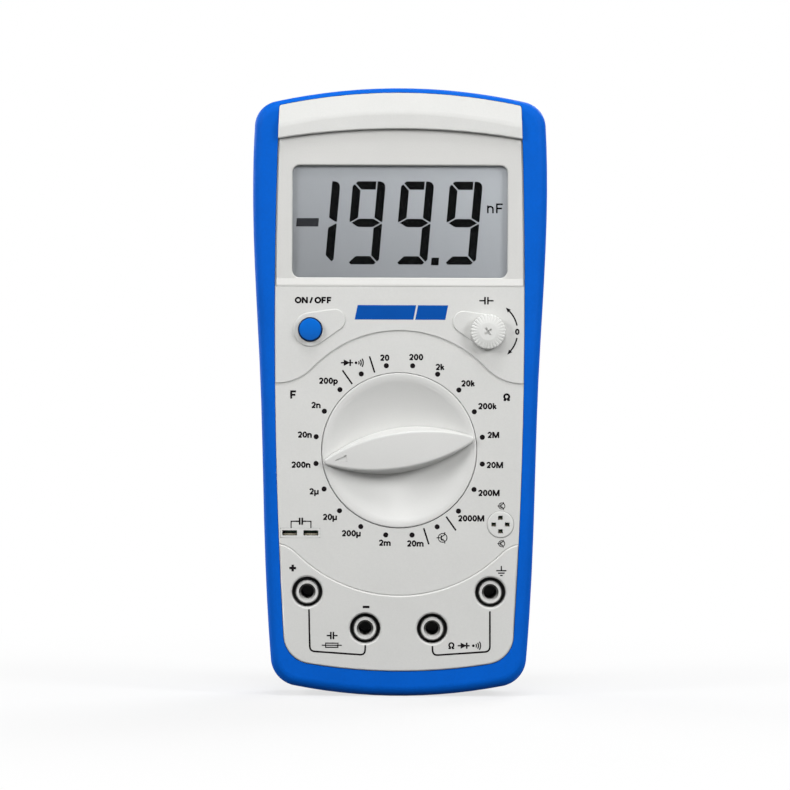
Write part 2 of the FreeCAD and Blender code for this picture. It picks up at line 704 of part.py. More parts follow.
def range_dial():
    """Dished dial with a grip bar across it, a hub through the well floor and a square stub."""
    hub = disc(DIAL, HUB_R, DIAL_BACK - DIAL_LIP, ROTOR_FRONT)
    stub = spun(block(around(DIAL, STUB / 2, STUB / 2), ROTOR_FRONT, ROTOR_BACK), DIAL, POINTER_DEG)
    groove = ring(DIAL, *DIAL_GROOVE, DIAL_RIM + DIAL_CAP, DIAL_BACK + OVER)
    pilot = disc(DIAL, DIAL_SCREW[2] + SNUG, DIAL_BACK, PARTING)
    return dial_dish().fuse([dial_grip(), hub, stub]).cut([groove, pilot]).removeSplitter()


def radial_rod(radius, start, end, degrees):
    """Cylinder along a radius of the dial at the depth of its detent."""
    x, z = polar(DIAL, start, degrees)
    turn = math.radians(degrees)
    way = Vector(math.cos(turn), 0, math.sin(turn))
    return Part.makeCylinder(radius, end - start, Vector(x, DETENT_Y, z), way)


def contact_rotor():
    """Disc driven by the dial's stub, with a pocket for each detent ball."""
    rotor = disc(DIAL, ROTOR_R, ROTOR_FRONT, ROTOR_BACK)
    half = STUB / 2 + SNUG
    bore = spun(block(around(DIAL, half, half), ROTOR_FRONT - OVER, ROTOR_BACK + OVER), DIAL, POINTER_DEG)
    pockets = [radial_rod(BALL_R + SNUG, POCKET_FLOOR, ROTOR_R + OVER, a) for a in DETENTS]
    return rotor.cut([bore] + pockets)


def detent_balls():
    balls = []
    for angle in DETENTS:
        x, z = polar(DIAL, BALL_AT, angle)
        balls.append(Part.makeSphere(BALL_R, Vector(x, DETENT_Y, z)))
    return Part.makeCompound(balls)


def coil(radius, wire, length, turns):
    """Helical spring from the origin along +Z."""
    helix = Part.makeHelix(length / turns, length, radius)
    section = Part.Wire(Part.makeCircle(wire / 2, Vector(radius, 0, 0), Vector(0, 1, 0)))
    return Part.Wire(helix).makePipeShell([section], True, False)


def detent_springs():
    """Coil spring behind each detent ball."""
    wire = SPRING_WIRE
    start = POCKET_FLOOR + wire
    springs = []
    for angle in DETENTS:
        spring = coil(BALL_R - wire, wire, BALL_AT - BALL_R - wire - start, 2 * SPRING_TURNS - 1)
        spring.rotate(Vector(), Vector(0, 1, 0), 90)
        spring.translate(Vector(start, 0, 0))
        spring.rotate(Vector(), Vector(0, -1, 0), angle)
        spring.translate(Vector(0, DETENT_Y, DIAL_Z))
        springs.append(spring)
    return Part.makeCompound(springs)


def wiper_contacts():
    """Bridging contacts on the rotor, each a strip with two rounded feet."""
    room = block((0, FAR, 0, HEIGHT), ROTOR_BACK, BOARD_FRONT)
    sole = ROTOR_BACK - WIPER_FOOT_SINK
    low = DIAL_Z - WIPER_HALF
    wipers = []
    for i in range(WIPERS):
        limits = (*WIPER_REACH, low, low + 2 * WIPER_HALF)
        strip = block(limits, ROTOR_BACK, ROTOR_BACK + WIPER_THICK)
        feet = [Part.makeCylinder(WIPER_FOOT_R, 2 * WIPER_HALF, Vector(x, sole, low)).common(room)
                for x in WIPER_FEET]
        wipers.append(spun(strip.fuse(feet), DIAL, POINTER_DEG + WIPER_START + 360 / WIPERS * i))
    return Part.makeCompound(wipers)


def screw(centre, seat, size):
    """Pan-head screw driven in along -Y, with a cross recess."""
    head_r, head_h, shank_r, length = size
    top = seat + head_h
    head = soften(disc(centre, head_r, seat, top), top, head_h * SCREW_ROUND)
    long, short = head_r * RECESS_LONG, head_r * RECESS_HALF
    floor = top - head_h * RECESS_DEEP
    arms = [block(around(centre, *half), floor, top + OVER) for half in ((long, short), (short, long))]
    return head.cut(arms).fuse(disc(centre, shank_r, seat - length, seat)).removeSplitter()


def dial_screw():
    return screw(DIAL, ROTOR_BACK, DIAL_SCREW)


def case_screws():
    return Part.makeCompound([screw(c, CASE_SCREW_SEAT, CASE_SCREW) for c in CASE_SCREWS])


def board_screws():
    return Part.makeCompound([screw(c, BOARD_BACK, BOARD_SCREW) for c in BOARD_SCREWS])


def door_screw():
    return screw(DOOR_SCREW, DOOR_SCREW_SEAT, DOOR_SCREW_SIZE)


def power_button():
    """Round push cap with a shallow dished top and a flange that keeps it behind the panel."""
    cap = soften(disc(BUTTON, BUTTON_R, BUTTON_FACE, FLANGE[1]), BUTTON_FACE, BUTTON_ROUND)
    hollow = Vector(BUTTON[0], BUTTON_FACE + BUTTON_DISH - BUTTON_DISH_R, BUTTON[1])
    dish = Part.makeSphere(BUTTON_DISH_R, hollow)
    flange = disc(BUTTON, BUTTON_R + FLANGE_OUT, *FLANGE)
    half = PLUNGER_HALF + SNUG
    socket = block(around(BUTTON, half, half), PLUNGER_FRONT - LAP, ROOF)
    return cap.cut(dish).fuse(flange).cut(socket).removeSplitter()


def switch_plunger():
    return block(around(BUTTON, PLUNGER_HALF, PLUNGER_HALF), PLUNGER_FRONT, PLUNGER_BACK)


def power_switch():
    """Push switch on the board: a square can with a well for the plunger and its spring."""
    can = block(around(BUTTON, SWITCH_HALF, SWITCH_HALF), SWITCH_FRONT, BOARD_FRONT, LEAST_CORNER)
    half = PLUNGER_HALF + FIT
    return can.cut(block(around(BUTTON, half, half), SWITCH_FRONT - OVER, SWITCH_FLOOR))


def switch_spring():
    """Return spring between the plunger and the floor of the switch."""
    length = SWITCH_FLOOR - PLUNGER_BACK - SPRING_WIRE - 2 * SNUG
    spring = coil(SPRING_R, SPRING_WIRE, length, SPRING_TURNS)
    spring.rotate(Vector(), Vector(1, 0, 0), 90)
    spring.translate(Vector(BUTTON[0], SWITCH_FLOOR - SPRING_WIRE / 2 - SNUG, BUTTON[1]))
    return spring


def zero_knob():
    """Small fluted knob with a cross slot, pressed on the potentiometer's shaft."""
    x, z = ZERO
    long, short, deep = ZERO_SLOT
    edge = ZERO_FACE + deep
    profile = [(0, ZERO_BASE), (ZERO_R, ZERO_BASE), (ZERO_R, edge), (ZERO_R - 0.35, edge - 0.35),
               (ZERO_CROWN_R, ZERO_FACE), (0, ZERO_FACE)]
    start = Vector(x + ZERO_CROWN_R + FIT, ZERO_FACE - LAP, z)
    flute = Part.makeCone(*ZERO_FLUTE_R, ZERO_R - 2 * OVER, start, Vector(1, 0.16, 0))
    out, rib_r = ZERO_RIB
    rib = disc((x + ZERO_R + out, z), rib_r, CLEAR_FRONT, ZERO_BASE + OVER)
    step = 360 / ZERO_FLUTES
    flutes = [spun(cutter, ZERO, step * i) for i in range(ZERO_FLUTES) for cutter in (flute, rib)]
    slot = block(around(ZERO, long, short), CLEAR_FRONT, edge)
    slots = [spun(slot, ZERO, a) for a in (ZERO_SLOT_DEG, ZERO_SLOT_DEG + 90)]
    socket = disc(ZERO, SHAFT_R + SNUG, SHAFT_FRONT - LAP, ZERO_BASE + OVER)
    return revolved(profile, ZERO).cut(flutes + slots + [socket])


def adjuster_shaft():
    return disc(ZERO, SHAFT_R, SHAFT_FRONT, SHAFT_BACK)


def adjuster_body():
    """Potentiometer can on the board."""
    can = soften(disc(ZERO, ADJUSTER_R, ADJUSTER_FRONT, BOARD_FRONT), ADJUSTER_FRONT, LEAST_CORNER)
    return can.cut(disc(ZERO, SHAFT_R + SNUG, ADJUSTER_FRONT - OVER, SHAFT_BACK + FIT))


def jack(centre):
    """Metal test jack: a blind tube with a shoulder on the board."""
    tube = disc(centre, JACK_TUBE_R, SLEEVE_FACE + JACK_SINK, JACK_END + JACK_CAP)
    shoulder = disc(centre, JACK_SHOULDER[0], BOARD_FRONT - JACK_SHOULDER[1], BOARD_FRONT)
    return tube.fuse(shoulder).cut(disc(centre, JACK_BORE, CLEAR_FRONT, JACK_END)).removeSplitter()


def slot_places():
    x, z = SLOT_SOCKET
    return [(x - SLOT_PITCH / 2, z), (x + SLOT_PITCH / 2, z)]


def capacitor_socket():
    """Insert with two long slots for a capacitor's legs."""
    insert = block(around(SLOT_SOCKET, *SLOT_SOCKET_HALF), DIAL_ZONE_FACE, SOCKET_BACK)
    insert = insert.makeFillet(BUTTON_GAP, depth_edges(insert))
    return insert.cut([block(around(c, *SLOT_HALF), CLEAR_FRONT, SOCKET_BACK + OVER) for c in slot_places()])


def capacitor_contacts():
    half_x, half_z, drop = SLOT_LEAF
    leaves = [block(around((x, z + drop), half_x, half_z), CONTACT_TIP, BOARD_FRONT)
              for x, z in slot_places()]
    return Part.makeCompound(leaves)


def hole_places():
    return [polar(HOLE_SOCKET, HOLE_PITCH, a) for a in (0, 90, 180, 270)]


def transistor_socket():
    """Round insert with four square holes."""
    face = DIAL_ZONE_FACE - FIT
    insert = soften(disc(HOLE_SOCKET, HOLE_SOCKET_R, face, SOCKET_BACK), face, WINDOW_ROUND)
    return insert.cut([block(around(c, *HOLE_HALF), CLEAR_FRONT, SOCKET_BACK + OVER) for c in hole_places()])


def transistor_contacts():
    half_x, half_z, drop = HOLE_PIN
    pins = [block(around((x, z + drop), half_x, half_z), CONTACT_TIP, BOARD_FRONT)
            for x, z in hole_places()]
    return Part.makeCompound(pins)


def fuse_rod(radius, start=-FUSE_HALF, end=FUSE_HALF):
    return lying_rod(radius, start, end, FUSE_Y, FUSE_Z)


def fuse_glass_rod():
    return fuse_rod(FUSE_GLASS_R, -FUSE_HALF + FUSE_CAP_END, FUSE_HALF - FUSE_CAP_END)


def fuse_tube():
    return fuse_glass_rod().cut(fuse_rod(FUSE_BORE))


def fuse_caps():
    ends = ((-FUSE_HALF, -FUSE_HALF + FUSE_CAP), (FUSE_HALF - FUSE_CAP, FUSE_HALF))
    return Part.makeCompound([fuse_rod(FUSE_R, *end).cut(fuse_glass_rod()) for end in ends])


def fuse_clips():
    """Sprung clips on the board that hold the fuse by its caps."""
    mouth = block((-FAR, FAR, FUSE_Z - CLIP_MOUTH, FUSE_Z + CLIP_MOUTH), FUSE_Y, BACK_FACE)
    clips = []
    for x in (-CLIP_X, CLIP_X):
        clip = block(around((x, FUSE_Z), *CLIP_HALF), BOARD_BACK, FUSE_Y + CLIP_RISE)
        clips.append(clip.cut([fuse_rod(FUSE_R), mouth]))
    return Part.makeCompound(clips)


def battery():
    """Nine volt block lying across the case, its studs to the right."""
    right = BATTERY[1]
    body = block(BATTERY, BATTERY_FRONT, BATTERY_BACK)
    body = body.makeFillet(BATTERY_ROUND, [e for e in body.Edges if e.BoundBox.XLength > right])
    studs = [lying_rod(STUD_R, right - FIT, right + STUD_TALL, y, z) for y, z in STUDS]
    return body.fuse(studs).removeSplitter()


def battery_snap():
    """Snap connector over the two studs."""
    start = BATTERY[1] + LAP
    wide, deep, tall = SNAP
    middle_y = STUDS[0][0]
    middle_z = (STUDS[0][1] + STUDS[1][1]) / 2
    plate = Part.makeBox(wide, deep, tall, Vector(start, middle_y - deep / 2, middle_z - tall / 2))
    plate = plate.makeFillet(SNAP_ROUND, [e for e in plate.Edges if e.BoundBox.XLength > wide / 2])
    return plate.cut([lying_rod(STUD_R + SNUG, BATTERY[1], start + STUD_TALL + SNUG, y, z) for y, z in STUDS])


def battery_leads():
    """Two insulated wires from the snap connector down to the board."""
    x = BATTERY[1] + LAP + SNAP[0] + LEAD_R + SNUG
    leads = []
    for y in LEADS_Y:
        bend = (y - BOARD_BACK) * 0.8
        knee = bend * (1 - math.sqrt(0.5))
        top = Vector(x, y, LEAD_TOP)
        upper = Vector(x, y, LEAD_FOOT + bend)
        middle = Vector(x, y - knee, LEAD_FOOT + knee)
        lower = Vector(x, y - bend, LEAD_FOOT)
        path = Part.Wire([line(top, upper), arc(upper, middle, lower),
                          line(lower, Vector(x, BOARD_BACK, LEAD_FOOT))])
        section = Part.Wire(Part.makeCircle(LEAD_R, top, Vector(0, 0, 1)))
        leads.append(path.makePipeShell([section], True, False))
    return Part.makeCompound(leads)


def hook(x, margin=0.0):
    """Hook at the door's foot that starts at x, or the room cut for it."""
    long, drop, rise = HOOK
    low = DOOR[2]
    limits = (x, x + long, low - drop, low + rise)
    return block(grow(limits, margin), HOOK_FRONT - margin, BACK_FACE - WALL)


def battery_door():
    """Flush door with two hooks at its foot and a screw ear at its head."""
    front = BACK_FACE - WALL
    plate = block(DOOR, front, BACK_FACE, DOOR_CORNER)
    plate = plate.fuse(disc(DOOR_SCREW, DOOR_EAR_R, front, BACK_FACE)).removeSplitter()
    plate = soften(plate, BACK_FACE, DOOR_ROUND)
    left, right, levels = DOOR_GRIPS
    tall, deep = DOOR_GRIP
    cuts = [block((left, right, z, z + tall), BACK_FACE - deep, CLEAR_BACK) for z in levels]
    cuts.append(disc(DOOR_SCREW, DOOR_SCREW_SIZE[0] + FIT, DOOR_SCREW_SEAT, CLEAR_BACK))
    cuts.append(disc(DOOR_SCREW, DOOR_SCREW_SIZE[2] + FIT, front - OVER, BACK_FACE))
    return plate.fuse([hook(x) for x in HOOKS_X]).cut(cuts)


def rear_cover():
    """Moulded rear half of the case: battery box, screw posts and a pocket for the stand."""
    inside = BACK_FACE - WALL
    back_plate = soften(prism(PLATEAU, BACK_SHOULDER, BACK_FACE, BACK_LIP), BACK_FACE, BACK_ROUND)
    shell = prism(CORE, PARTING, BACK_SHOULDER).fuse(back_plate)
    shell = shell.cut([prism(CORE, PARTING - OVER, BACK_SHOULDER - WALL, WALL),
                       prism(PLATEAU, BACK_SHOULDER - WALL - OVER, inside, BACK_LIP + WALL)])

    axis_y, axis_z = STAND_AXIS
    pocket = (-STAND_X - 0.4, STAND_X + 0.4, STAND_FOOT - 0.8, axis_z + 1.6)
    heel = (-HEEL_X - BUTTON_GAP, HEEL_X + BUTTON_GAP, axis_z - 1.4, HEEL_TOP + 0.7)
    scoop = (-SCOOP_R, SCOOP_R, SCOOP_Z - SCOOP_R, SCOOP_Z)
    floor = inside - POCKET_WALL
    adds = [block(grow(BOX, BOX_WALL), BATTERY_FRONT - LAP - 1.2, inside + LAP),
            block(grow(pocket, POCKET_WALL), floor, inside + LAP),
            block(grow(scoop, WALL), floor, inside + LAP),
            block(grow(heel, WALL), HEEL_FLOOR - 1.6, inside),
            disc(DOOR_SCREW, FRONT_POST_R + FIT, 4.0, inside + LAP)]
    adds += [disc(c, REAR_POST_R, REAR_POST_FRONT, inside + LAP) for c in CASE_SCREWS]

    lead_way = (25.2, 28.2, BOX[2] - BOX_WALL - 0.5, BOX[2] + OVER)
    pin_end = STAND_X + STAND_PIN + FIT
    cuts = [block(BOX, BATTERY_FRONT - LAP, inside + FIT),
            block(grow(DOOR, FIT), inside, CLEAR_BACK, DOOR_CORNER),
            disc(DOOR_SCREW, DOOR_EAR_R + FIT, inside, CLEAR_BACK),
            disc(DOOR_SCREW, DOOR_SCREW_SIZE[2] + PILOT_FIT, 6.5, CLEAR_BACK),
            block(pocket, POCKET_FRONT, CLEAR_BACK, 1.2),
            disc((0, SCOOP_Z), SCOOP_R, POCKET_FRONT, CLEAR_BACK),
            block(heel, HEEL_FLOOR, CLEAR_BACK),
            lying_rod(STAND_PIN_R + SNUG, -pin_end, pin_end, axis_y, axis_z),
            block(lead_way, 0.8, 6.6)]
    cuts += [hook(x, FIT) for x in HOOKS_X]
    for centre in CASE_SCREWS:
        cuts.append(disc(centre, CASE_SCREW[0] + BUTTON_GAP, CASE_SCREW_SEAT, CLEAR_BACK))
        cuts.append(disc(centre, CASE_SCREW[2] + FIT, PARTING, CLEAR_BACK))
        cuts.append(disc(centre, FRONT_POST_R + LAP, PARTING, REAR_POST_FRONT + FIT))
    return shell.fuse(adds).cut(cuts).removeSplitter()


def tilt_stand():
    """Flap with a rounded foot, grip ribs, hinge pins and a heel that stops it when open."""
    axis_y, axis_z = STAND_AXIS
    flap = block((-STAND_X, STAND_X, STAND_FOOT, axis_z), STAND_FRONT, STAND_BACK)
    feet = [e for e in depth_edges(flap) if e.BoundBox.ZMin < axis_z - OVER]
    flap = soften(flap.makeFillet(STAND_CORNER, feet), STAND_BACK, STAND_ROUND)
    hollow = block(STAND_HOLLOW, STAND_BACK - STAND_HOLLOW_DEEP, CLEAR_BACK, STAND_CORNER / 2)
    left, right, levels = STAND_RIBS
    tall, deep = STAND_RIB
    ribs = [block((left, right, z, z + tall), STAND_BACK - deep, CLEAR_BACK) for z in levels]
    barrel = lying_rod((STAND_BACK - STAND_FRONT) / 2, -STAND_X, STAND_X, axis_y, axis_z)
    pins = lying_rod(STAND_PIN_R, -STAND_X - STAND_PIN, STAND_X + STAND_PIN, axis_y, axis_z)
    heel = block((-HEEL_X, HEEL_X, axis_z - LAP, HEEL_TOP), STAND_FRONT, STAND_BACK)
    return flap.cut([hollow] + ribs).fuse([barrel, pins, heel]).removeSplitter()


def buzzer():
    """Thin sounder disc in its holder on the board."""
    back = BOARD_BACK + BUZZER_TALL
    holder = soften(disc(BUZZER, BUZZER_R, BOARD_BACK, back), back, LIP_ROUND)
    return holder.cut(disc(BUZZER, BUZZER_HOLE, BOARD_BACK + BUZZER_TALL / 2, back + OVER))


def measuring_chip():
    """Flat package with legs on two sides."""
    half_x, half_z = CHIP_HALF
    low, high = CHIP_LEVELS
    long, short, thick = CHIP_LEG
    body = block(around(CHIP, half_x, half_z), BOARD_BACK + low, BOARD_BACK + high, LEAST_CORNER)
    first = CHIP[1] - CHIP_PITCH * (CHIP_LEGS - 1) / 2
    reach = half_x + long - FIT
    legs = [block(around((CHIP[0] + side * reach, first + CHIP_PITCH * i), long, short),
                  BOARD_BACK, BOARD_BACK + thick)
            for i in range(CHIP_LEGS) for side in (-1, 1)]
    return body.fuse(legs)


def capacitors():
    """Can capacitors standing on the back of the board."""
    cans = [soften(disc(c, r, BOARD_BACK, BOARD_BACK + tall), BOARD_BACK + tall, LEAST_CORNER)
            for c, r, tall in CANS]
    return Part.makeCompound(cans)


PIECES = [boot, front_cover, rear_cover, display_frame, display_window, display_panel, panel_holder,
          connector_strip, main_board, range_dial, contact_rotor, wiper_contacts, detent_balls,
          detent_springs, dial_screw, power_button, switch_plunger, power_switch, switch_spring,
          zero_knob, adjuster_shaft, adjuster_body, capacitor_socket, capacitor_contacts,
          transistor_socket, transistor_contacts, fuse_tube, fuse_caps, fuse_clips, battery,
          battery_snap, battery_leads, battery_door, door_screw, tilt_stand, buzzer, measuring_chip,
          capacitors, case_screws, board_screws]


def main():
    os.makedirs("parts", exist_ok=True)
    solids = {piece.__name__: piece() for piece in PIECES}
    solids.update({name: jack(centre) for name, centre in JACKS.items()})
    for name, shape in solids.items():
        print(f"{name:22s} solids {len(shape.Solids)} valid {shape.isValid()} volume {shape.Volume:9.1f}")
        shape.exportStep(f"parts/{name}.step")


main()
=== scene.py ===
import bpy
import bmesh
import json
import math
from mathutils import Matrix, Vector


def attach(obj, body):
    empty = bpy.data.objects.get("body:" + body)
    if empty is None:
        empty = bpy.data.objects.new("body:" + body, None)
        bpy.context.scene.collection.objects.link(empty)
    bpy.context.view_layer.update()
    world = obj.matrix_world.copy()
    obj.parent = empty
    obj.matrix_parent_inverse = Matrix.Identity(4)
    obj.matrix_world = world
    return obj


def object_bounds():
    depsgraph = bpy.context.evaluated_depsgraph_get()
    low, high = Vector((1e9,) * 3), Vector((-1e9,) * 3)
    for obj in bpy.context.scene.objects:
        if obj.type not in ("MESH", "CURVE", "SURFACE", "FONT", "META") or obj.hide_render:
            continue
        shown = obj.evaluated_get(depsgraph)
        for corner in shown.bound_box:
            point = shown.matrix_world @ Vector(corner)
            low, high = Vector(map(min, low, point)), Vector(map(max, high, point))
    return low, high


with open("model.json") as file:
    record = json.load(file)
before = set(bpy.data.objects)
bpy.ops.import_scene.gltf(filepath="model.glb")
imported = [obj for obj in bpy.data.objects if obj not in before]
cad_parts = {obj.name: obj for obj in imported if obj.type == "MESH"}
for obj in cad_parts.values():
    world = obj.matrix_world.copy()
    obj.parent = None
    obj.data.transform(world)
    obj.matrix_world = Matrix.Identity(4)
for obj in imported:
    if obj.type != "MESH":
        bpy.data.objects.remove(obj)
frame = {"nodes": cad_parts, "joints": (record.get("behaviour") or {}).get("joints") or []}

# Places are written in millimetres, x to the right and z up, as the face is read.
mm = 0.001
inward = (0, 1, 0)
upward = (0, 0, 1)
white = (1.0, 1.0, 1.0, 1.0)
scene = bpy.context.scene
scene.view_settings.view_transform = "Standard"
nodes = frame["nodes"]
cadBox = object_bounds()
jointPlace = {joint["name"]: joint.get("pos_m") for joint in frame["joints"]}
print("frame loaded:", len(nodes), "nodes")


# Shader nodes that the studio and the finishes share
mixSockets = {"share": 0, "first": 6, "second": 7, "color": 2}     # the colour sockets of a Mix node


def addNode(tree, kind, values):
    node = tree.nodes.new(kind)
    for key, value in values.items():
        node.inputs[key].default_value = value
    return node


def combine(tree, operation, first, second):
    node = tree.nodes.new("ShaderNodeMath")
    node.operation = operation
    tree.links.new(first, node.inputs[0])
    tree.links.new(second, node.inputs[1])
    return node.outputs[0]


def spread(tree, source, low, high, start=0.3, end=0.7):
    node = addNode(tree, "ShaderNodeMapRange",
                   {"From Min": start, "From Max": end, "To Min": low, "To Max": high})
    tree.links.new(source, node.inputs["Value"])
    return node.outputs["Result"]


def mixColors(tree, share, first, second, blend="MIX"):
    node = tree.nodes.new("ShaderNodeMix")
    node.data_type = "RGBA"
    node.blend_type = blend
    for key, value in (("share", share), ("first", first), ("second", second)):
        socket = node.inputs[mixSockets[key]]
        if isinstance(value, (float, tuple)):
            socket.default_value = value
        else:
            tree.links.new(value, socket)
    return node.outputs[mixSockets["color"]]


def tinted(tree, color, tint):
    return mixColors(tree, 1.0, color, tint, "MULTIPLY")


def mixShaders(tree, share, first, second):
    node = tree.nodes.new("ShaderNodeMixShader")
    for socket, source in zip(node.inputs, (share, first, second)):
        tree.links.new(source, socket)
    return node.outputs[0]


def seenDirectly(tree):      # by the camera, or in gloss and glass
    path = tree.nodes.new("ShaderNodeLightPath")
    total = path.outputs["Is Camera Ray"]
    for name in ("Is Glossy Ray", "Is Transmission Ray"):
        total = combine(tree, "MAXIMUM", total, path.outputs[name])
    return total


# Camera, floor and light
studio = {
    "aim": (-1.36, 93.57),        # what the middle of the picture shows
    "roll": -0.2,                 # degrees
    "frameWidth": 245.1,          # how much of the face's plane the picture spans
    "distance": 1100.0,
    "facePlane": -12.0,
    "sensor": 36.0,
    "sight": 50.0,                # how far the camera sees, metres
    "floorSpan": 8.0,             # metres
    "floorColor": (0.62, 0.62, 0.62, 1.0),
    "floorBounce": (0.15, 0.15, 0.15, 1.0),   # the floor as it lights the part
    "floorGlow": (0.70, 1.0),     # share of plain white the camera sees, under the part and far off
    "floorReach": (0.06, 0.32),   # where that share starts to rise and where it is full, metres
    "worldFill": 0.02,
    "lamps": {
        "left": {"place": (-0.89, -0.63, 0.60), "size": 0.40, "power": 7.2},
        "right": {"place": (0.89, -0.63, 0.60), "size": 0.40, "power": 8.2},
        "front": {"place": (0.0, -1.09, 0.60), "size": 0.40, "power": 3.5},
        "overhead": {"place": (0.0, -0.42, 1.22), "size": 0.40, "power": 6.0},
        "rim": {"place": (0.45, 0.75, 0.70), "size": 0.70, "power": 9.0},
        "rimLeft": {"place": (-0.75, 0.55, 0.35), "size": 0.60, "power": 5.0},
    },
}


def addCamera():
    aimX, aimZ = studio["aim"]
    data = bpy.data.cameras.new("camera")
    data.sensor_width = studio["sensor"]
    data.lens = studio["sensor"] * studio["distance"] / studio["frameWidth"]
    data.clip_end = studio["sight"]
    camera = bpy.data.objects.new("camera", data)
    camera.location = (aimX * mm, (studio["facePlane"] - studio["distance"]) * mm, aimZ * mm)
    camera.rotation_euler = (math.pi / 2, math.radians(studio["roll"]), 0)
    scene.collection.objects.link(camera)
    scene.camera = camera


def addLamps():
    middle = (cadBox[0] + cadBox[1]) / 2
    for name, values in studio["lamps"].items():
        data = bpy.data.lights.new(name, "AREA")
        data.shape = "DISK"
        data.size = values["size"]
        data.energy = values["power"]
        lamp = bpy.data.objects.new(name, data)
        lamp.location = values["place"]
        lamp.rotation_euler = (middle - lamp.location).to_track_quat("-Z", "Y").to_euler()
        scene.collection.objects.link(lamp)


def addWorld():
    world = bpy.data.worlds.new("world")
    world.use_nodes = True
    scene.world = world
    tree = world.node_tree
    back = tree.nodes["Background"]
    back.inputs["Color"].default_value = white
    level = spread(tree, seenDirectly(tree), studio["worldFill"], 1.0, 0, 1)
    tree.links.new(level, back.inputs["Strength"])


def addFloor():
    bpy.ops.mesh.primitive_plane_add(size=studio["floorSpan"])
    floor = bpy.context.object
    floor.name = "floor"
    mat = bpy.data.materials.new("pale floor")
    mat.use_nodes = True
    tree = mat.node_tree
    tree.nodes.remove(tree.nodes["Principled BSDF"])
    diffuse = tree.nodes.new("ShaderNodeBsdfDiffuse")
    shown = mixColors(tree, seenDirectly(tree), studio["floorBounce"], studio["floorColor"])
    tree.links.new(shown, diffuse.inputs["Color"])
    glow = tree.nodes.new("ShaderNodeEmission")
    place = tree.nodes.new("ShaderNodeTexCoord")
    far = tree.nodes.new("ShaderNodeVectorMath")
    far.operation = "LENGTH"
    tree.links.new(place.outputs["Object"], far.inputs[0])
    fade = spread(tree, far.outputs["Value"], *studio["floorGlow"], *studio["floorReach"])
    fade.node.interpolation_type = "SMOOTHSTEP"
    share = combine(tree, "MULTIPLY", seenDirectly(tree), fade)
    surface = mixShaders(tree, share, diffuse.outputs[0], glow.outputs[0])
    tree.links.new(surface, tree.nodes["Material Output"].inputs["Surface"])
    floor.data.materials.append(mat)


addCamera()
addLamps()
addWorld()
addFloor()
print("studio ready")


# Finishes: colours are linear, sizes and depths are in millimetres
facing = {"steep": (-0.97, -0.6), "up": (0.1, 0.9)}     # how far a face turns, for none and for all of it
cornerRays = 6


def newFinish(name):
    mat = bpy.data.materials.new(name)
    mat.use_nodes = True
    return mat, mat.node_tree, mat.node_tree.nodes["Principled BSDF"]


def shade(color, factor):
    return tuple(min(c * factor, 1.0) for c in color[:3]) + (1.0,)


def noise(tree, size, detail=2.0, stretch=(1, 1, 1)):
    place = tree.nodes.new("ShaderNodeTexCoord")
    mapping = addNode(tree, "ShaderNodeMapping", {"Scale": stretch})
    node = addNode(tree, "ShaderNodeTexNoise", {"Scale": 1 / (size * mm), "Detail": detail})
    tree.links.new(place.outputs["Object"], mapping.inputs["Vector"])
    tree.links.new(mapping.outputs["Vector"], node.inputs["Vector"])
    return node.outputs["Fac"]


def addBump(tree, shader, height, deep):
    bump = addNode(tree, "ShaderNodeBump", {"Strength": 1.0, "Distance": deep * mm})
    tree.links.new(height, bump.inputs["Height"])
    tree.links.new(bump.outputs["Normal"], shader.inputs["Normal"])


# Painted shade: ambient occlusion darkens a finish's colour in corners, creases, gaps and holes
def paintedCornerShade(tree, reach):
    node = addNode(tree, "ShaderNodeAmbientOcclusion", {"Distance": reach * mm})
    node.samples = cornerRays
    return node.outputs["AO"]


def along(tree, way, ends, levels=(0, 1), source="Object"):
    place = tree.nodes.new("ShaderNodeTexCoord")
    dot = tree.nodes.new("ShaderNodeVectorMath")
    dot.operation = "DOT_PRODUCT"
    dot.inputs[1].default_value = way
    tree.links.new(place.outputs[source], dot.inputs[0])
    scale = mm if source == "Object" else 1
    return spread(tree, dot.outputs["Value"], *levels, *[end * scale for end in ends])


def steep(tree):
    return along(tree, inward, facing["steep"], (0, 1), "Normal")


def upFacing(tree, levels):
    return along(tree, upward, facing["up"], levels, "Normal")


# Painted shade in the jack wells: walls and deep faces below the dial darken, less where a face turns up as
# if lit from above
def wellShadeMask(tree, wellShade):
    walls = combine(tree, "MULTIPLY", steep(tree), along(tree, inward, wellShade["walls"]))
    both = combine(tree, "MAXIMUM", walls, along(tree, inward, wellShade["deep"]))
    shaded = combine(tree, "MULTIPLY", both, upFacing(tree, (1, 1 - wellShade["lit"])))
    return combine(tree, "MULTIPLY", shaded, along(tree, upward, wellShade["below"]))


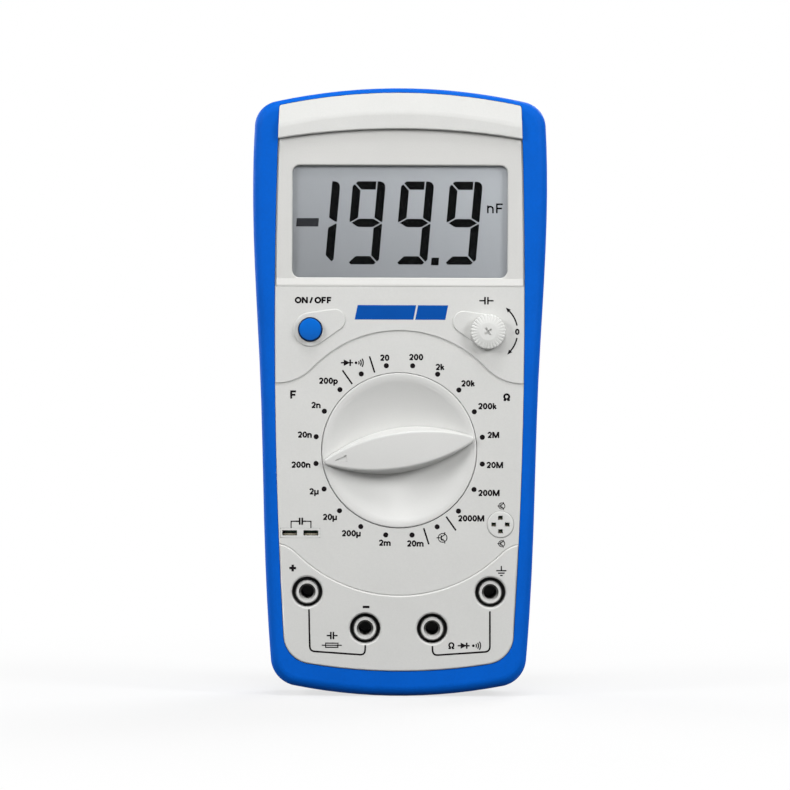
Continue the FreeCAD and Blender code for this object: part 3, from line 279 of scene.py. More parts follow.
def moulded(name, look):
    mat, tree, shader = newFinish(name)
    color = look["color"]
    patches = spread(tree, noise(tree, look["patch"], look["fine"]), 0, 1)
    tone = mixColors(tree, patches, shade(color, 1 - look["drift"]), shade(color, 1 + look["drift"]))
    specks = spread(tree, noise(tree, look["grain"] * look["speckSize"]), 0, 1)
    speck = mixColors(tree, specks, shade(white, 1 - look["speck"]), white)
    # painted shade: the colour darkens to the corner tone where corners and gaps close in
    outsideCornerShade = spread(tree, paintedCornerShade(tree, look["cornerReach"]), 0, 1, *look["cornerRange"])
    final = mixColors(tree, outsideCornerShade, shade(color, look["cornerShadeTone"]), tinted(tree, tone, speck))
    # painted shade in the jack wells
    if "wellShade" in look:
        wellShade = look["wellShade"]
        final = mixColors(tree, wellShadeMask(tree, wellShade), final, shade(color, wellShade["tone"]))
    # painted shade: faces sunk behind the face turn dark, as in the socket holes
    if "sunk" in look:
        sunk = look["sunk"]
        final = mixColors(tree, along(tree, inward, sunk["depth"]), final, shade(color, sunk["tone"]))
    # painted shade: faces that turn away from the front darken
    if "wallShadeTone" in look:
        final = mixColors(tree, steep(tree), final, shade(color, look["wallShadeTone"]))
    # painted light: the colour grows lighter along a direction, from the low share to full
    if "sweep" in look:
        sweep = look["sweep"]
        final = tinted(tree, final, along(tree, sweep["way"], sweep["ends"], (sweep["low"], 1)))
    tree.links.new(final, shader.inputs["Base Color"])
    rough, drift = look["rough"], look["roughDrift"]
    dull = spread(tree, noise(tree, look["patch"] * look["roughPatch"]), rough - drift, rough + drift)
    tree.links.new(dull, shader.inputs["Roughness"])
    shader.inputs["Specular IOR Level"].default_value = look["shine"]
    addBump(tree, shader, noise(tree, look["grain"], look["fine"]), look["grainDeep"])
    return mat


def metal(name, look):
    mat, tree, shader = newFinish(name)
    color = look["color"]
    streaks = noise(tree, look["streak"], look["fine"], look["stretch"])
    dark, bright = look["streakTones"]
    tone = mixColors(tree, streaks, shade(color, dark), shade(color, bright))
    # painted shade in corners and bores, from ambient occlusion; lit marks where that shade is absent
    lit = spread(tree, paintedCornerShade(tree, look["cornerReach"]), 0, 1, *look["cornerRange"])
    # painted light: upward faces near the bore's mouth keep their colour, a lit lower side
    if "glint" in look:
        mouth = along(tree, inward, look["glint"], (1, 0))
        lit = combine(tree, "MAXIMUM", lit, combine(tree, "MULTIPLY", upFacing(tree, (0, 1)), mouth))
    final = mixColors(tree, lit, shade(color, look["cornerShadeTone"]), tone)
    tree.links.new(final, shader.inputs["Base Color"])
    less, more = look["roughSpread"]
    dull = spread(tree, streaks, look["rough"] - less, look["rough"] + more)
    tree.links.new(dull, shader.inputs["Roughness"])
    shader.inputs["Metallic"].default_value = look["metallic"]
    addBump(tree, shader, streaks, look["streakDeep"])
    return mat


def clear(name, look):
    mat, tree, shader = newFinish(name)
    shader.inputs["Base Color"].default_value = look["color"]
    shader.inputs["Transmission Weight"].default_value = 1.0
    shader.inputs["IOR"].default_value = look["index"]
    smears = noise(tree, look["smear"], look["fine"])
    dull = spread(tree, smears, look["rough"], look["rough"] * look["smearRough"])
    tree.links.new(dull, shader.inputs["Roughness"])
    path = tree.nodes.new("ShaderNodeLightPath")
    through = tree.nodes.new("ShaderNodeBsdfTransparent")
    surface = shader.outputs[0]
    for ray in ("Is Shadow Ray", "Is Diffuse Ray"):      # light passes straight through
        surface = mixShaders(tree, path.outputs[ray], surface, through.outputs[0])
    tree.links.new(surface, tree.nodes["Material Output"].inputs["Surface"])
    return mat


def laminate(name, look):
    mat, tree, shader = newFinish(name)
    color, drift = look["color"], look["drift"]
    place = tree.nodes.new("ShaderNodeTexCoord")
    turn = addNode(tree, "ShaderNodeMapping", {"Rotation": (math.pi / 2, 0, 0)})
    brick = addNode(tree, "ShaderNodeTexBrick", {
        "Scale": 1 / (look["track"] * mm), "Mortar Size": look["trackGap"], "Mortar": look["trackColor"],
        "Color1": shade(color, 1 - drift), "Color2": shade(color, 1 + drift)})
    tree.links.new(place.outputs["Object"], turn.inputs["Vector"])
    tree.links.new(turn.outputs["Vector"], brick.inputs["Vector"])
    tree.links.new(brick.outputs["Color"], shader.inputs["Base Color"])
    tree.links.new(spread(tree, noise(tree, look["patch"]), *look["rough"]), shader.inputs["Roughness"])
    addBump(tree, shader, brick.outputs["Fac"], look["trackDeep"])
    return mat


plastic = {
    "patch": 22.0, "drift": 0.018,               # clouds of colour, and how far they depart from it
    "grain": 0.22, "grainDeep": 0.006, "fine": 3.0,
    "speck": 0.035, "speckSize": 2.0,            # how dark the specks are, and their size in grains
    "rough": 0.47, "roughDrift": 0.05, "roughPatch": 0.4, "shine": 0.45,
    # the corner settings paint shade into corners, creases and gaps
    "cornerReach": 0.9, "cornerShadeTone": 0.80, "cornerRange": (0.15, 0.75),
}
mouldedLooks = {
    "boot rubber": {
        "color": (0.0, 0.110, 0.578), "patch": 16.0, "drift": 0.05, "grain": 0.35, "grainDeep": 0.012,
        "speck": 0.06, "rough": 0.58, "roughDrift": 0.07, "shine": 0.07, "cornerReach": 1.2,
        "cornerShadeTone": 0.45},
    "case plastic": {"color": (0.640, 0.645, 0.620)},
    "face plastic": {
        "color": (0.628, 0.629, 0.612), "cornerShadeTone": 0.90,
        "wellShade": {                               # painted shade in the jack wells, by depth and by height, lighter on faces that turn up
            "walls": (-12.05, -11.5), "deep": (-11.25, -9.8), "below": (50.0, 46.0),
            "lit": 0.85, "tone": 0.10}},
    "display trim": {"color": (0.604, 0.602, 0.584), "rough": 0.43},
    "dial plastic": {
        "color": (0.638, 0.639, 0.624), "rough": 0.34, "grainDeep": 0.003, "speck": 0.02,
        # strong painted shade at the foot of the grip and in the dial's gap
        "cornerReach": 1.0, "cornerShadeTone": 0.55},
    "knob plastic": {
        "color": (0.672, 0.676, 0.656), "rough": 0.46, "grainDeep": 0.004, "cornerReach": 0.5,
        "cornerShadeTone": 0.95},
    "button plastic": {
        "color": (0.002, 0.165, 0.720), "patch": 4.0, "drift": 0.04, "rough": 0.46, "grainDeep": 0.002,
        # painted shade on the button's sides and round its gap
        "shine": 0.08, "cornerShadeTone": 0.4, "wallShadeTone": 0.22,
        # painted light: the button lighter towards its top
        "sweep": {"way": upward, "ends": (110.5, 117.0), "low": 0.52}},
    "socket plastic": {
        # the sunk tone paints shade into the socket holes and slots
        "color": (0.645, 0.648, 0.630), "rough": 0.42, "sunk": {"depth": (-11.9, -11.0), "tone": 0.08}},
    "dark plastic": {"color": (0.022, 0.022, 0.024), "rough": 0.5, "grainDeep": 0.008, "drift": 0.12},
    "printing ink": {
        "color": (0.007, 0.005, 0.006), "patch": 3.0, "drift": 0.10, "grain": 0.12, "grainDeep": 0.001,
        "rough": 0.60, "shine": 0.06},
    "badge ink": {
        "color": (0.0, 0.074, 0.370), "patch": 6.0, "drift": 0.04, "grainDeep": 0.002, "rough": 0.50,
        "shine": 0.08},
    "display cell": {
        "color": (0.416, 0.434, 0.460), "patch": 26.0, "drift": 0.03, "grain": 0.5, "grainDeep": 0.0005,
        "speck": 0.045, "rough": 0.34, "shine": 0.3, "cornerShadeTone": 1.0,
        # painted light: the display cell lighter towards its top and right
        "sweep": {"way": (0.42, 0, 0.91), "ends": (107.7, 162.2), "low": 0.54}},
    "display segment": {
        "color": (0.0018, 0.0021, 0.0022), "patch": 3.0, "drift": 0.15, "grainDeep": 0.0005, "rough": 0.5,
        "shine": 0.02},
    "faded segment": {
        "color": (0.030, 0.031, 0.036), "patch": 3.0, "drift": 0.10, "grainDeep": 0.0005, "rough": 0.5,
        "shine": 0.04},
    "strip rubber": {"color": (0.16, 0.16, 0.17), "rough": 0.7},
    "battery jacket": {"color": (0.06, 0.06, 0.07), "rough": 0.3},
    "red lead": {"color": (0.35, 0.015, 0.012), "rough": 0.35},
    "can sleeve": {"color": (0.012, 0.03, 0.14), "rough": 0.3},
}
bareMetal = {
    "fine": 4.0, "streakTones": (0.86, 1.1), "roughSpread": (0.06, 0.08), "metallic": 1.0,
    "cornerRange": (0.25, 0.9),
}
metalLooks = {
    "bright steel": {
        "color": (0.56, 0.57, 0.59), "rough": 0.28, "streak": 0.5, "stretch": (1, 1, 6), "streakDeep": 0.004,
        "cornerReach": 1.0, "cornerShadeTone": 0.4},
    "plated brass": {
        "color": (0.62, 0.56, 0.42), "rough": 0.26, "streak": 0.6, "stretch": (1, 5, 1), "streakDeep": 0.003,
        "cornerReach": 2.0, "cornerShadeTone": 0.25},
    "jack metal": {
        "color": (0.52, 0.50, 0.47), "rough": 0.40, "streak": 0.6, "stretch": (1, 5, 1), "streakDeep": 0.003,
        # a long corner reach paints the bores nearly black with shade
        "cornerReach": 9.0, "cornerShadeTone": 0.02, "metallic": 0.35,
        "glint": (-8.0, 2.0)},                   # depths between which the painted light on the lower side of the bore fades out
}
clearSheet = {"rough": 0.02, "smearRough": 2.5, "fine": 3.0}
clearLooks = {
    "clear window": {"color": (0.97, 0.98, 0.98, 1.0), "index": 1.08, "smear": 12.0},
    "fuse glass": {"color": (0.95, 0.97, 0.97, 1.0), "index": 1.5, "smear": 5.0},
}
boardLook = {
    "color": (0.015, 0.13, 0.045), "drift": 0.1, "trackColor": (0.05, 0.26, 0.08, 1.0), "track": 4.0,
    "trackGap": 0.06, "trackDeep": 0.03, "patch": 6.0, "rough": (0.25, 0.4),
}
finishes = {name: moulded(name, {**plastic, **look}) for name, look in mouldedLooks.items()}
finishes.update({name: metal(name, {**bareMetal, **look}) for name, look in metalLooks.items()})
finishes.update({name: clear(name, {**clearSheet, **look}) for name, look in clearLooks.items()})
finishes["board laminate"] = laminate("board laminate", boardLook)
nodeFinish = {
    "boot": "boot rubber", "front_cover": "face plastic", "rear_cover": "case plastic",
    "battery_door": "case plastic", "tilt_stand": "case plastic", "display_frame": "display trim",
    "display_window": "clear window", "display_panel": "display cell", "connector_strip": "strip rubber",
    "main_board": "board laminate", "range_dial": "dial plastic", "power_button": "button plastic",
    "zero_knob": "knob plastic", "capacitor_socket": "socket plastic", "transistor_socket": "socket plastic",
    "fuse_tube": "fuse glass", "battery": "battery jacket", "battery_leads": "red lead",
    "capacitors": "can sleeve",
}
metalNodes = {
    "bright steel": ["detent_balls", "detent_springs", "dial_screw", "switch_spring", "fuse_caps",
                     "door_screw", "case_screws", "board_screws"],
    "plated brass": ["wiper_contacts", "capacitor_contacts", "transistor_contacts", "fuse_clips"],
    "jack metal": ["jack_capacitor_plus", "jack_capacitor_minus", "jack_ohm", "jack_common"],
}
for finish, names in metalNodes.items():
    nodeFinish.update({name: finish for name in names})
for name, node in nodes.items():
    node.data.materials.clear()
    node.data.materials.append(finishes[nodeFinish.get(name, "dark plastic")])
print("finishes on", len(nodes), "nodes")


# Printing: thin layers of ink that lie on the face
inkLayer = {
    "proud": 0.02, "sunk": 0.012,     # how far a layer stands out of the face and reaches into it
    "lift": 0.003,                    # between strokes that cross
    "line": 0.38, "wordLine": 0.49,
    "mitre": 0.4,                     # the smallest share of a corner's mitre
    "sameSpot": 1e-6,
}


def faceLevel(x, z, node="front_cover"):
    hit, place, _, _ = nodes[node].ray_cast(Vector((x * mm, -1, z * mm)), Vector(inward))
    if not hit:
        raise ValueError(f"no {node} behind {x}, {z}")
    return place.y


def layerBetween(level):
    return level - inkLayer["proud"] * mm, level + inkLayer["sunk"] * mm


def over(level, order):
    return level - order * inkLayer["lift"] * mm


def addShape(bm, outline, level):
    rows = [[bm.verts.new((x * mm, y, z * mm)) for x, z in outline] for y in layerBetween(level)]
    bm.faces.new(rows[0])
    bm.faces.new(list(reversed(rows[1])))
    for i in range(len(outline)):
        bm.faces.new((rows[0][i - 1], rows[1][i - 1], rows[1][i], rows[0][i]))


def addRibbon(bm, points, level, width=inkLayer["line"], closed=False):
    count = len(points)
    sides = []
    for i, point in enumerate(points):
        before = points[i - 1] if i or closed else point
        after = points[(i + 1) % count] if i < count - 1 or closed else point
        steps = [Vector(b) - Vector(a) for a, b in ((before, point), (point, after)) if a != b]
        ways = [Vector((-s.y, s.x)).normalized() for s in steps]
        normal = sum(ways, Vector((0, 0))).normalized()
        reach = width / 2 / max(normal.dot(ways[0]), inkLayer["mitre"])
        sides.append([(point[0] + side * normal.x * reach, point[1] + side * normal.y * reach)
                      for side in (1, -1)])
    depths = layerBetween(level)
    rows = [[bm.verts.new((x * mm, y, z * mm)) for y in depths for x, z in pair] for pair in sides]
    for i in range(count if closed else count - 1):
        a, b = rows[i], rows[(i + 1) % count]
        for one, two in ((0, 1), (1, 3), (3, 2), (2, 0)):
            bm.faces.new((a[one], a[two], b[two], b[one]))
    if not closed:
        first, last = rows[0], rows[-1]
        bm.faces.new((first[0], first[2], first[3], first[1]))
        bm.faces.new((last[0], last[1], last[3], last[2]))


def bow(x, z, wide, high, start, sweep, count=14):
    turns = [math.radians(start + sweep * i / count) for i in range(count + 1)]
    return [(x + wide * math.cos(t), z + high * math.sin(t)) for t in turns]


def arcPoints(centre, radius, start, sweep, count=24):
    return bow(*centre, radius, radius, start, sweep, count)


def roundPath(points, radius, count=6):
    path = [points[0]]
    for before, corner, after in zip(points, points[1:], points[2:]):
        here = Vector(corner)
        ways = [(Vector(p) - here).normalized() * radius for p in (before, after)]
        for i in range(count + 1):
            t = i / count
            path.append(tuple(here + ways[0] * (1 - t) ** 2 + ways[1] * t ** 2))
    return path + [points[-1]]


def addDot(bm, centre, radius, level):
    addShape(bm, arcPoints(centre, radius, 0, 360)[:-1], level)


# Letters as pen strokes, in shares of the capital height: how far each one steps on, and its strokes
letters = {
    " ": (0.30, []),
    "/": (0.42, [[(0.04, 0.04), (0.38, 0.96)]]),
    "0": (0.77, [bow(0.385, 0.5, 0.24, 0.385, 0, 360, 24)]),
    "2": (0.77, [bow(0.38, 0.645, 0.235, 0.24, 170, -200) + [(0.23, 0.13)], [(0.10, 0.12), (0.66, 0.12)]]),
    "F": (0.84, [[(0.16, 0.0), (0.16, 0.885), (0.74, 0.885)], [(0.16, 0.47), (0.67, 0.47)]]),
    "M": (1.16, [[(0.15, 0.0), (0.15, 1.0)], [(1.01, 0.0), (1.01, 1.0)],
                 [(0.20, 0.92), (0.54, 0.13), (0.62, 0.13), (0.96, 0.92)]]),
    "N": (1.02, [[(0.16, 0.0), (0.16, 1.0)], [(0.86, 0.0), (0.86, 1.0)], [(0.21, 0.91), (0.81, 0.09)]]),
    "O": (1.10, [bow(0.55, 0.5, 0.40, 0.39, 0, 360, 28)]),
    "k": (0.70, [[(0.15, 0.0), (0.15, 1.0)], [(0.17, 0.27), (0.54, 0.66)], [(0.32, 0.42), (0.58, 0.06)]]),
    "m": (1.16, [[(0.14, 0.0), (0.14, 0.73)], bow(0.36, 0.44, 0.22, 0.18, 180, -180) + [(0.58, 0.0)],
                 bow(0.80, 0.44, 0.22, 0.18, 180, -180) + [(1.02, 0.0)]]),
    "n": (0.77, [[(0.14, 0.0), (0.14, 0.73)], bow(0.38, 0.41, 0.24, 0.21, 180, -180) + [(0.62, 0.0)]]),
    "p": (0.77, [[(0.14, -0.27), (0.14, 0.73)], bow(0.38, 0.36, 0.24, 0.26, 0, 360, 20)]),
    "µ": (0.80, [[(0.14, -0.27), (0.14, 0.73)], bow(0.38, 0.31, 0.24, 0.21, 180, 180) + [(0.62, 0.73)],
                 [(0.62, 0.0), (0.62, 0.3)]]),
    "Ω": (0.98, [[(0.36, 0.11)] + bow(0.49, 0.57, 0.34, 0.33, -116, -308, 26) + [(0.62, 0.11)],
                 [(0.06, 0.11), (0.42, 0.11)], [(0.56, 0.11), (0.92, 0.11)]]),
}


def addWords(bm, words, place, tall, level, weight=inkLayer["wordLine"]):
    wide = sum(letters[letter][0] for letter in words) * tall
    x, z = place[0] - wide / 2, place[1] - tall / 2
    for letter in words:
        step, strokes = letters[letter]
        for i, stroke in enumerate(strokes):
            points = [(x + px * tall, z + pz * tall) for px, pz in stroke]
            closed = math.dist(points[0], points[-1]) < inkLayer["sameSpot"]
            addRibbon(bm, points[:-1] if closed else points, over(level, i), weight, closed)
        x += step * tall


def finishPiece(bm, name, finish, body="case"):
    bmesh.ops.recalc_face_normals(bm, faces=bm.faces)
    mesh = bpy.data.meshes.new(name)
    bm.to_mesh(mesh)
    bm.free()
    piece = bpy.data.objects.new(name, mesh)
    scene.collection.objects.link(piece)
    mesh.materials.append(finishes[finish])
    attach(piece, body)
    print("made", name)


# Circuit signs: lengths and pen widths, the transistor's in shares of its circle's radius
signs = {
    "capacitor": {"plate": 0.52, "wire": 0.44},
    "diode": {"bar": 0.5, "wire": 0.42, "lead": 0.9},
    "sound": {"dot": 0.42, "shift": -0.7, "waves": (0.95, 1.6, 2.25), "span": 68, "pen": 0.38},
    "arrow": {"half": 0.42},
    "transistor": {
        "pen": 0.20, "penGrowth": 0.05, "barPen": 1.4, "lead": -1.4, "base": -0.3, "side": 0.5, "bar": 0.58,
        "legs": (0.2, 0.74, 1.3), "tip": 0.62, "innerTip": 0.22},
    "ground": {"stem": 1.5, "bars": (3.2, 2.0, 0.8), "step": 0.75},
    "fuse": {"half": 1.9, "rise": 0.65, "lead": 3.1, "pen": 0.34},
}


def capacitorSign(bm, place, level, size):
    x, z = place
    wide, tall, gap = size
    look = signs["capacitor"]
    for side in (-1, 1):
        plate = x + side * gap / 2
        addRibbon(bm, [(plate, z - tall / 2), (plate, z + tall / 2)], level, look["plate"])
        addRibbon(bm, [(plate, z), (x + side * wide / 2, z)], over(level, 1), look["wire"])


def diodeSign(bm, place, level, size):
    x, z = place
    half = size / 2
    look = signs["diode"]
    end = half + look["lead"]
    addShape(bm, [(x - half, z + half), (x + half, z), (x - half, z - half)], level)
    addRibbon(bm, [(x + half, z - half), (x + half, z + half)], over(level, 1), look["bar"])
    addRibbon(bm, [(x - end, z), (x + end, z)], over(level, 2), look["wire"])


def soundSign(bm, place, level):
    look = signs["sound"]
    source = (place[0] + look["shift"], place[1])
    addDot(bm, source, look["dot"], level)
    for radius in look["waves"]:
        addRibbon(bm, arcPoints(source, radius, -look["span"] / 2, look["span"], 8), level, look["pen"])


def arrowTip(bm, tip, way, level, size):
    ahead = Vector(way).normalized()
    across = Vector((-ahead.y, ahead.x)) * size * signs["arrow"]["half"]
    foot = Vector(tip) - ahead * size
    addShape(bm, [tuple(tip), tuple(foot + across), tuple(foot - across)], level)


def transistorSign(bm, place, level, outward, size):
    x, z = place
    look = signs["transistor"]
    pen = look["pen"] + look["penGrowth"] * size
    base, side = x + look["base"] * size, x + look["side"] * size
    bar = look["bar"] * size
    inner, outer, end = look["legs"]
    addRibbon(bm, arcPoints(place, size, 0, 360, 28)[:-1], level, pen, True)
    addRibbon(bm, [(base, z - bar), (base, z + bar)], over(level, 1), pen * look["barPen"])
    addRibbon(bm, [(x + look["lead"] * size, z), (base, z)], over(level, 2), pen)
    for up in (size, -size):
        leg = [(base, z + up * inner), (side, z + up * outer), (side, z + up * end)]
        addRibbon(bm, leg, over(level, 3), pen)
    lean = Vector((look["side"] - look["base"], inner - outer))
    tip = (side, z - outer * size) if outward else (base, z - look["innerTip"] * size)
    arrowTip(bm, tip, lean if outward else -lean, over(level, 4), look["tip"] * size)


def groundSign(bm, place, level):
    x, z = place
    look = signs["ground"]
    addRibbon(bm, [(x, z + look["stem"]), (x, z)], level)
    for i, wide in enumerate(look["bars"]):
        low = z - look["step"] * i
        addRibbon(bm, [(x - wide / 2, low), (x + wide / 2, low)], over(level, 1))


def fuseSign(bm, place, level):
    x, z = place
    look = signs["fuse"]
    half, rise, lead = look["half"], look["rise"], look["lead"]
    tube = [(x - half, z - rise), (x + half, z - rise), (x + half, z + rise), (x - half, z + rise)]
    addRibbon(bm, tube, level, look["pen"], True)
    addRibbon(bm, [(x - lead, z), (x + lead, z)], over(level, 1), look["pen"])


# Range scale round the dial: labels as words, radius and angle
scaleMarks = {
    "dotRing": 26.1, "ringRise": 1.018, "dotRadius": 0.80, "firstDot": 99.0, "step": 18.0, "positions": 20,
    "labelTall": 1.95,
    "labels": [
        ("20", 29.1, 99.1), ("200", 29.4, 79.9), ("2k", 28.8, 64.1), ("20k", 29.8, 44.4),
        ("200k", 30.6, 26.8), ("2M", 29.6, 9.5), ("20M", 30.0, -8.5), ("200M", 30.8, -25.2),
        ("2000M", 30.7, -43.2), ("20m", 29.3, -80.0), ("2m", 29.0, -98.7), ("200µ", 29.7, -119.8),
        ("20µ", 29.8, -135.9), ("2µ", 29.3, -154.1), ("200n", 30.8, -171.5), ("20n", 29.7, 170.7),
        ("2n", 29.4, 151.6), ("200p", 30.8, 135.7)],
    "dividers": [126.0, 108.0, -54.0, -72.0], "dividerFrom": 24.9, "dividerTo": 30.1, "dividerWidth": 0.5,
    "gain": (30.3, -63.4), "gainSize": 1.35,
    "test": (30.9, 118.6), "diodeShift": -1.5, "diodeSize": 2.0, "soundShift": 2.0,
    "units": [("F", (-32.9, 93.6), 2.55), ("Ω", (33.3, 93.0), 2.25)], "unitWeight": 0.62,
}


def aroundDial(radius, angle, rise=1.0):
    centre = jointPlace["dial_turn"]
    turn = math.radians(angle)
    return (centre[0] / mm + radius * math.cos(turn), centre[2] / mm + radius * rise * math.sin(turn))


def printedScale():
    bm = bmesh.new()
    level = faceLevel(*aroundDial(scaleMarks["dotRing"], scaleMarks["firstDot"]))
    rise = scaleMarks["ringRise"]
    for i in range(scaleMarks["positions"]):
        angle = scaleMarks["firstDot"] - scaleMarks["step"] * i
        addDot(bm, aroundDial(scaleMarks["dotRing"], angle, rise), scaleMarks["dotRadius"], level)
    for words, radius, angle in scaleMarks["labels"]:
        addWords(bm, words, aroundDial(radius, angle), scaleMarks["labelTall"], level)
    for angle in scaleMarks["dividers"]:
        ends = [aroundDial(scaleMarks[end], angle, rise) for end in ("dividerFrom", "dividerTo")]
        addRibbon(bm, ends, level, scaleMarks["dividerWidth"])
    x, z = aroundDial(*scaleMarks["test"])
    diodeSign(bm, (x + scaleMarks["diodeShift"], z), level, scaleMarks["diodeSize"])
    soundSign(bm, (x + scaleMarks["soundShift"], z), level)
    transistorSign(bm, aroundDial(*scaleMarks["gain"]), level, True, scaleMarks["gainSize"])
    for words, place, tall in scaleMarks["units"]:
        addWords(bm, words, place, tall, level, scaleMarks["unitWeight"])
    finishPiece(bm, "printed_scale", "printing ink")


printedScale()


# Marks beside the power button and the zero adjust knob
controlMarks = {
    "power": ("ON / OFF", (-26.8, 122.9), 1.95), "powerWeight": 0.56,
    "adjust": (26.9, 122.9), "adjustSize": (4.4, 2.3, 0.9),
    "arcRadius": 9.2, "arcWidth": 0.46, "arcs": [(12.0, 34.0), (-12.0, -30.0)],
    "arrow": 1.55, "arrowAhead": 0.8,
    "zeroTall": 1.85, "zeroShift": -0.1,
}
badge = {"bars": [(-13.5, 4.7), (5.25, 14.6)], "low": 116.93, "high": 121.43, "lean": 0.45}


def printedControls():
    bm = bmesh.new()
    knob = jointPlace["zero_turn"]
    centre = (knob[0] / mm, knob[2] / mm)
    words, place, tall = controlMarks["power"]
    level = faceLevel(*place)
    addWords(bm, words, place, tall, level, controlMarks["powerWeight"])
    capacitorSign(bm, controlMarks["adjust"], level, controlMarks["adjustSize"])
    arrow = controlMarks["arrow"]
    for start, sweep in controlMarks["arcs"]:
        path = arcPoints(centre, controlMarks["arcRadius"], start, sweep)
        addRibbon(bm, path, level, controlMarks["arcWidth"])
        end = Vector(path[-1])
        way = (end - Vector(path[-2])).normalized()
        arrowTip(bm, end + way * arrow * controlMarks["arrowAhead"], way, over(level, 1), arrow)
    zero = (centre[0] + controlMarks["arcRadius"] + controlMarks["zeroShift"], centre[1])
    addWords(bm, "0", zero, controlMarks["zeroTall"], level)
    finishPiece(bm, "printed_controls", "printing ink")


def badgeBar():
    bm = bmesh.new()
    low, high, lean = badge["low"], badge["high"], badge["lean"]
    for left, right in badge["bars"]:
        outline = [(left - lean, low), (right - lean, low), (right + lean, high), (left + lean, high)]
        addShape(bm, outline, faceLevel(left, (low + high) / 2))
    finishPiece(bm, "badge_bar", "badge ink")


printedControls()
badgeBar()


# Marks at the component sockets and the jacks
socketMarks = {
    "capacitor": (-30.4, 54.3), "capacitorSize": (3.0, 2.2, 0.8),
    "bracketX": (-33.45, -27.3), "bracketFrom": 1.4, "bracketFoot": 52.2, "bracketWidth": 0.34,
    "transistors": [((31.9, 59.25), True), ((31.9, 47.55), False)], "transistorSize": 0.95,
}
jackMarks = {
    "plus": (-32.9, 39.8), "minus": (-10.1, 27.8), "signHalf": 1.05, "signWidth": 0.74,
    "common": (31.8, 39.2),
    "capacitor": (-20.6, 18.9), "capacitorSize": (3.4, 2.3, 0.8), "fuse": (-20.7, 15.9),
    "ohm": ("Ω", (16.4, 15.9), 2.1), "diode": (20.2, 15.9), "diodeSize": 1.9, "sound": (23.9, 15.9),
    "corner": 1.6, "bracketWidth": 0.54,
    "brackets": [
        [(-27.8, 27.0), (-27.5, 14.07), (-10.4, 12.9), (-10.3, 15.95)],
        [(10.5, 15.8), (10.65, 12.85), (28.35, 14.1), (28.3, 26.6)]],
}


def printedSockets():
    bm = bmesh.new()
    x, z = socketMarks["capacitor"]
    level = faceLevel(x, z)
    capacitorSign(bm, (x, z), level, socketMarks["capacitorSize"])
    for end, side in zip(socketMarks["bracketX"], (-1, 1)):
        bracket = [(x + side * socketMarks["bracketFrom"], z), (end, z), (end, socketMarks["bracketFoot"])]
        addRibbon(bm, bracket, over(level, 2), socketMarks["bracketWidth"])
    for place, outward in socketMarks["transistors"]:
        transistorSign(bm, place, faceLevel(*place), outward, socketMarks["transistorSize"])
    finishPiece(bm, "printed_sockets", "printing ink")


def printedJacks():
    bm = bmesh.new()
    level = faceLevel(*jackMarks["fuse"])
    half, width = jackMarks["signHalf"], jackMarks["signWidth"]
    for x, z in (jackMarks["plus"], jackMarks["minus"]):
        addRibbon(bm, [(x - half, z), (x + half, z)], level, width)
    x, z = jackMarks["plus"]
    for side in (-1, 1):
        addRibbon(bm, [(x, z + side * width / 2), (x, z + side * half)], level, width)
    groundSign(bm, jackMarks["common"], level)
    capacitorSign(bm, jackMarks["capacitor"], level, jackMarks["capacitorSize"])
    fuseSign(bm, jackMarks["fuse"], level)
    words, place, tall = jackMarks["ohm"]
    addWords(bm, words, place, tall, level)
    diodeSign(bm, jackMarks["diode"], level, jackMarks["diodeSize"])
    soundSign(bm, jackMarks["sound"], level)
    for path in jackMarks["brackets"]:
        addRibbon(bm, roundPath(path, jackMarks["corner"]), level, jackMarks["bracketWidth"])
    finishPiece(bm, "printed_jacks", "printing ink")


printedSockets()
printedJacks()


# Figures on the display
digits = {
    "foot": 133.93, "tall": 26.2, "wide": 10.6, "stroke": 2.95, "chamfer": 1.65, "round": 2.1, "gap": 0.38,
    "tip": (0.45, 0.38), "lean": 0.086,
    "lefts": [(-30.03, "bc"), (-15.92, "abcdfg"), (-0.87, "abcdfg"), (14.22, "abcdfg")],
    "minus": (-32.2, -25.3, 145.85, 148.45), "point": (9.65, 2.35),
    "unit": [("n", 28.1, 3.3), ("F", 30.9, 3.15)], "unitFoot": 150.15, "unitWeight": 0.50,
}


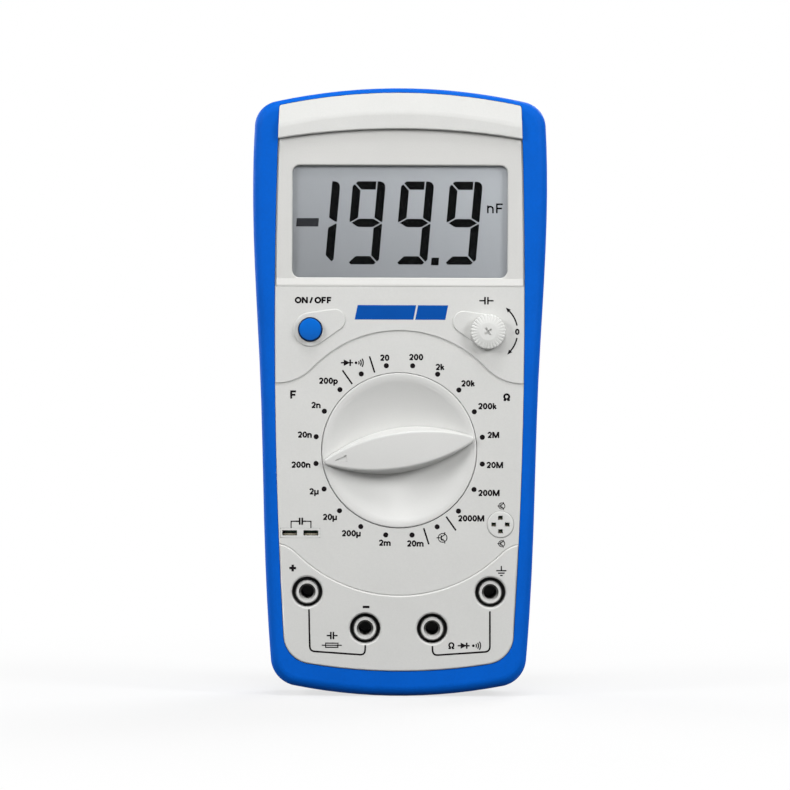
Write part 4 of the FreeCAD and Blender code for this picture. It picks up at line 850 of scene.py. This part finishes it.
def digitSegments():
    w, h, t, c = digits["wide"], digits["tall"], digits["stroke"], digits["chamfer"]
    half, rise = digits["tip"]
    mid, upper, lower = h / 2, (h + t) / 2, (h - t) / 2
    turn = digits["round"]
    bend = [(w - turn + x, h - turn + z) for x, z in arcPoints((0, 0), turn, 90, -90, 4)]
    return {
        "a": [(c, h), (w - t, h), (w - t, h - t), (t, h - t), (c / 2, h - c / 2)],
        "b": [(w - t, h)] + bend + [(w, mid + rise), (w - half, mid), (w - t, upper)],
        "c": [(w - t, lower), (w - half, mid), (w, mid - rise), (w, c), (w - c / 2, c / 2), (w - t, t)],
        "d": [(t, t), (w - t, t), (w - c / 2, c / 2), (w - c, 0), (c, 0), (c / 2, c / 2)],
        "f": [(c / 2, h - c / 2), (t, h - t), (t, upper), (half, mid), (0, mid + rise), (0, h - c)],
        "g": [(half, mid), (t, upper), (w - t, upper), (w - half, mid), (w - t, lower), (t, lower)],
    }


def drawnIn(points, margin):
    count = len(points)
    edges = []
    for i in range(count):
        a, b = Vector(points[i]), Vector(points[(i + 1) % count])
        way = (b - a).normalized()
        edges.append((a + Vector((way.y, -way.x)) * margin, way))
    drawn = []
    for i in range(count):
        (p, d), (q, e) = edges[i - 1], edges[i]
        reach = (q - p).cross(e) / d.cross(e)
        drawn.append(tuple(p + d * reach))
    return drawn


def displayDigits():
    foot, lean = digits["foot"], digits["lean"]
    middle = foot + digits["tall"] / 2
    level = faceLevel(0, middle, "display_panel")

    def leant(points):
        return [(x + (z - middle) * lean, z) for x, z in points]

    bm = bmesh.new()
    segments = digitSegments()
    for left, lit in digits["lefts"]:
        for name in lit:
            outline = [(left + x, foot + z) for x, z in drawnIn(segments[name], digits["gap"] / 2)]
            addShape(bm, leant(outline), level)
    x, size = digits["point"]
    x += digits["tall"] / 2 * lean
    addShape(bm, leant([(x, foot), (x + size, foot), (x + size, foot + size), (x, foot + size)]), level)
    for letter, place, tall in digits["unit"]:
        addWords(bm, letter, (place, digits["unitFoot"] + tall / 2), tall, level, digits["unitWeight"])
    finishPiece(bm, "display_digits", "display segment")

    bm = bmesh.new()
    left, right, low, high = digits["minus"]
    addShape(bm, leant([(left, low), (right, low), (right, high), (left, high)]), level)
    finishPiece(bm, "display_minus", "faded segment")


displayDigits()
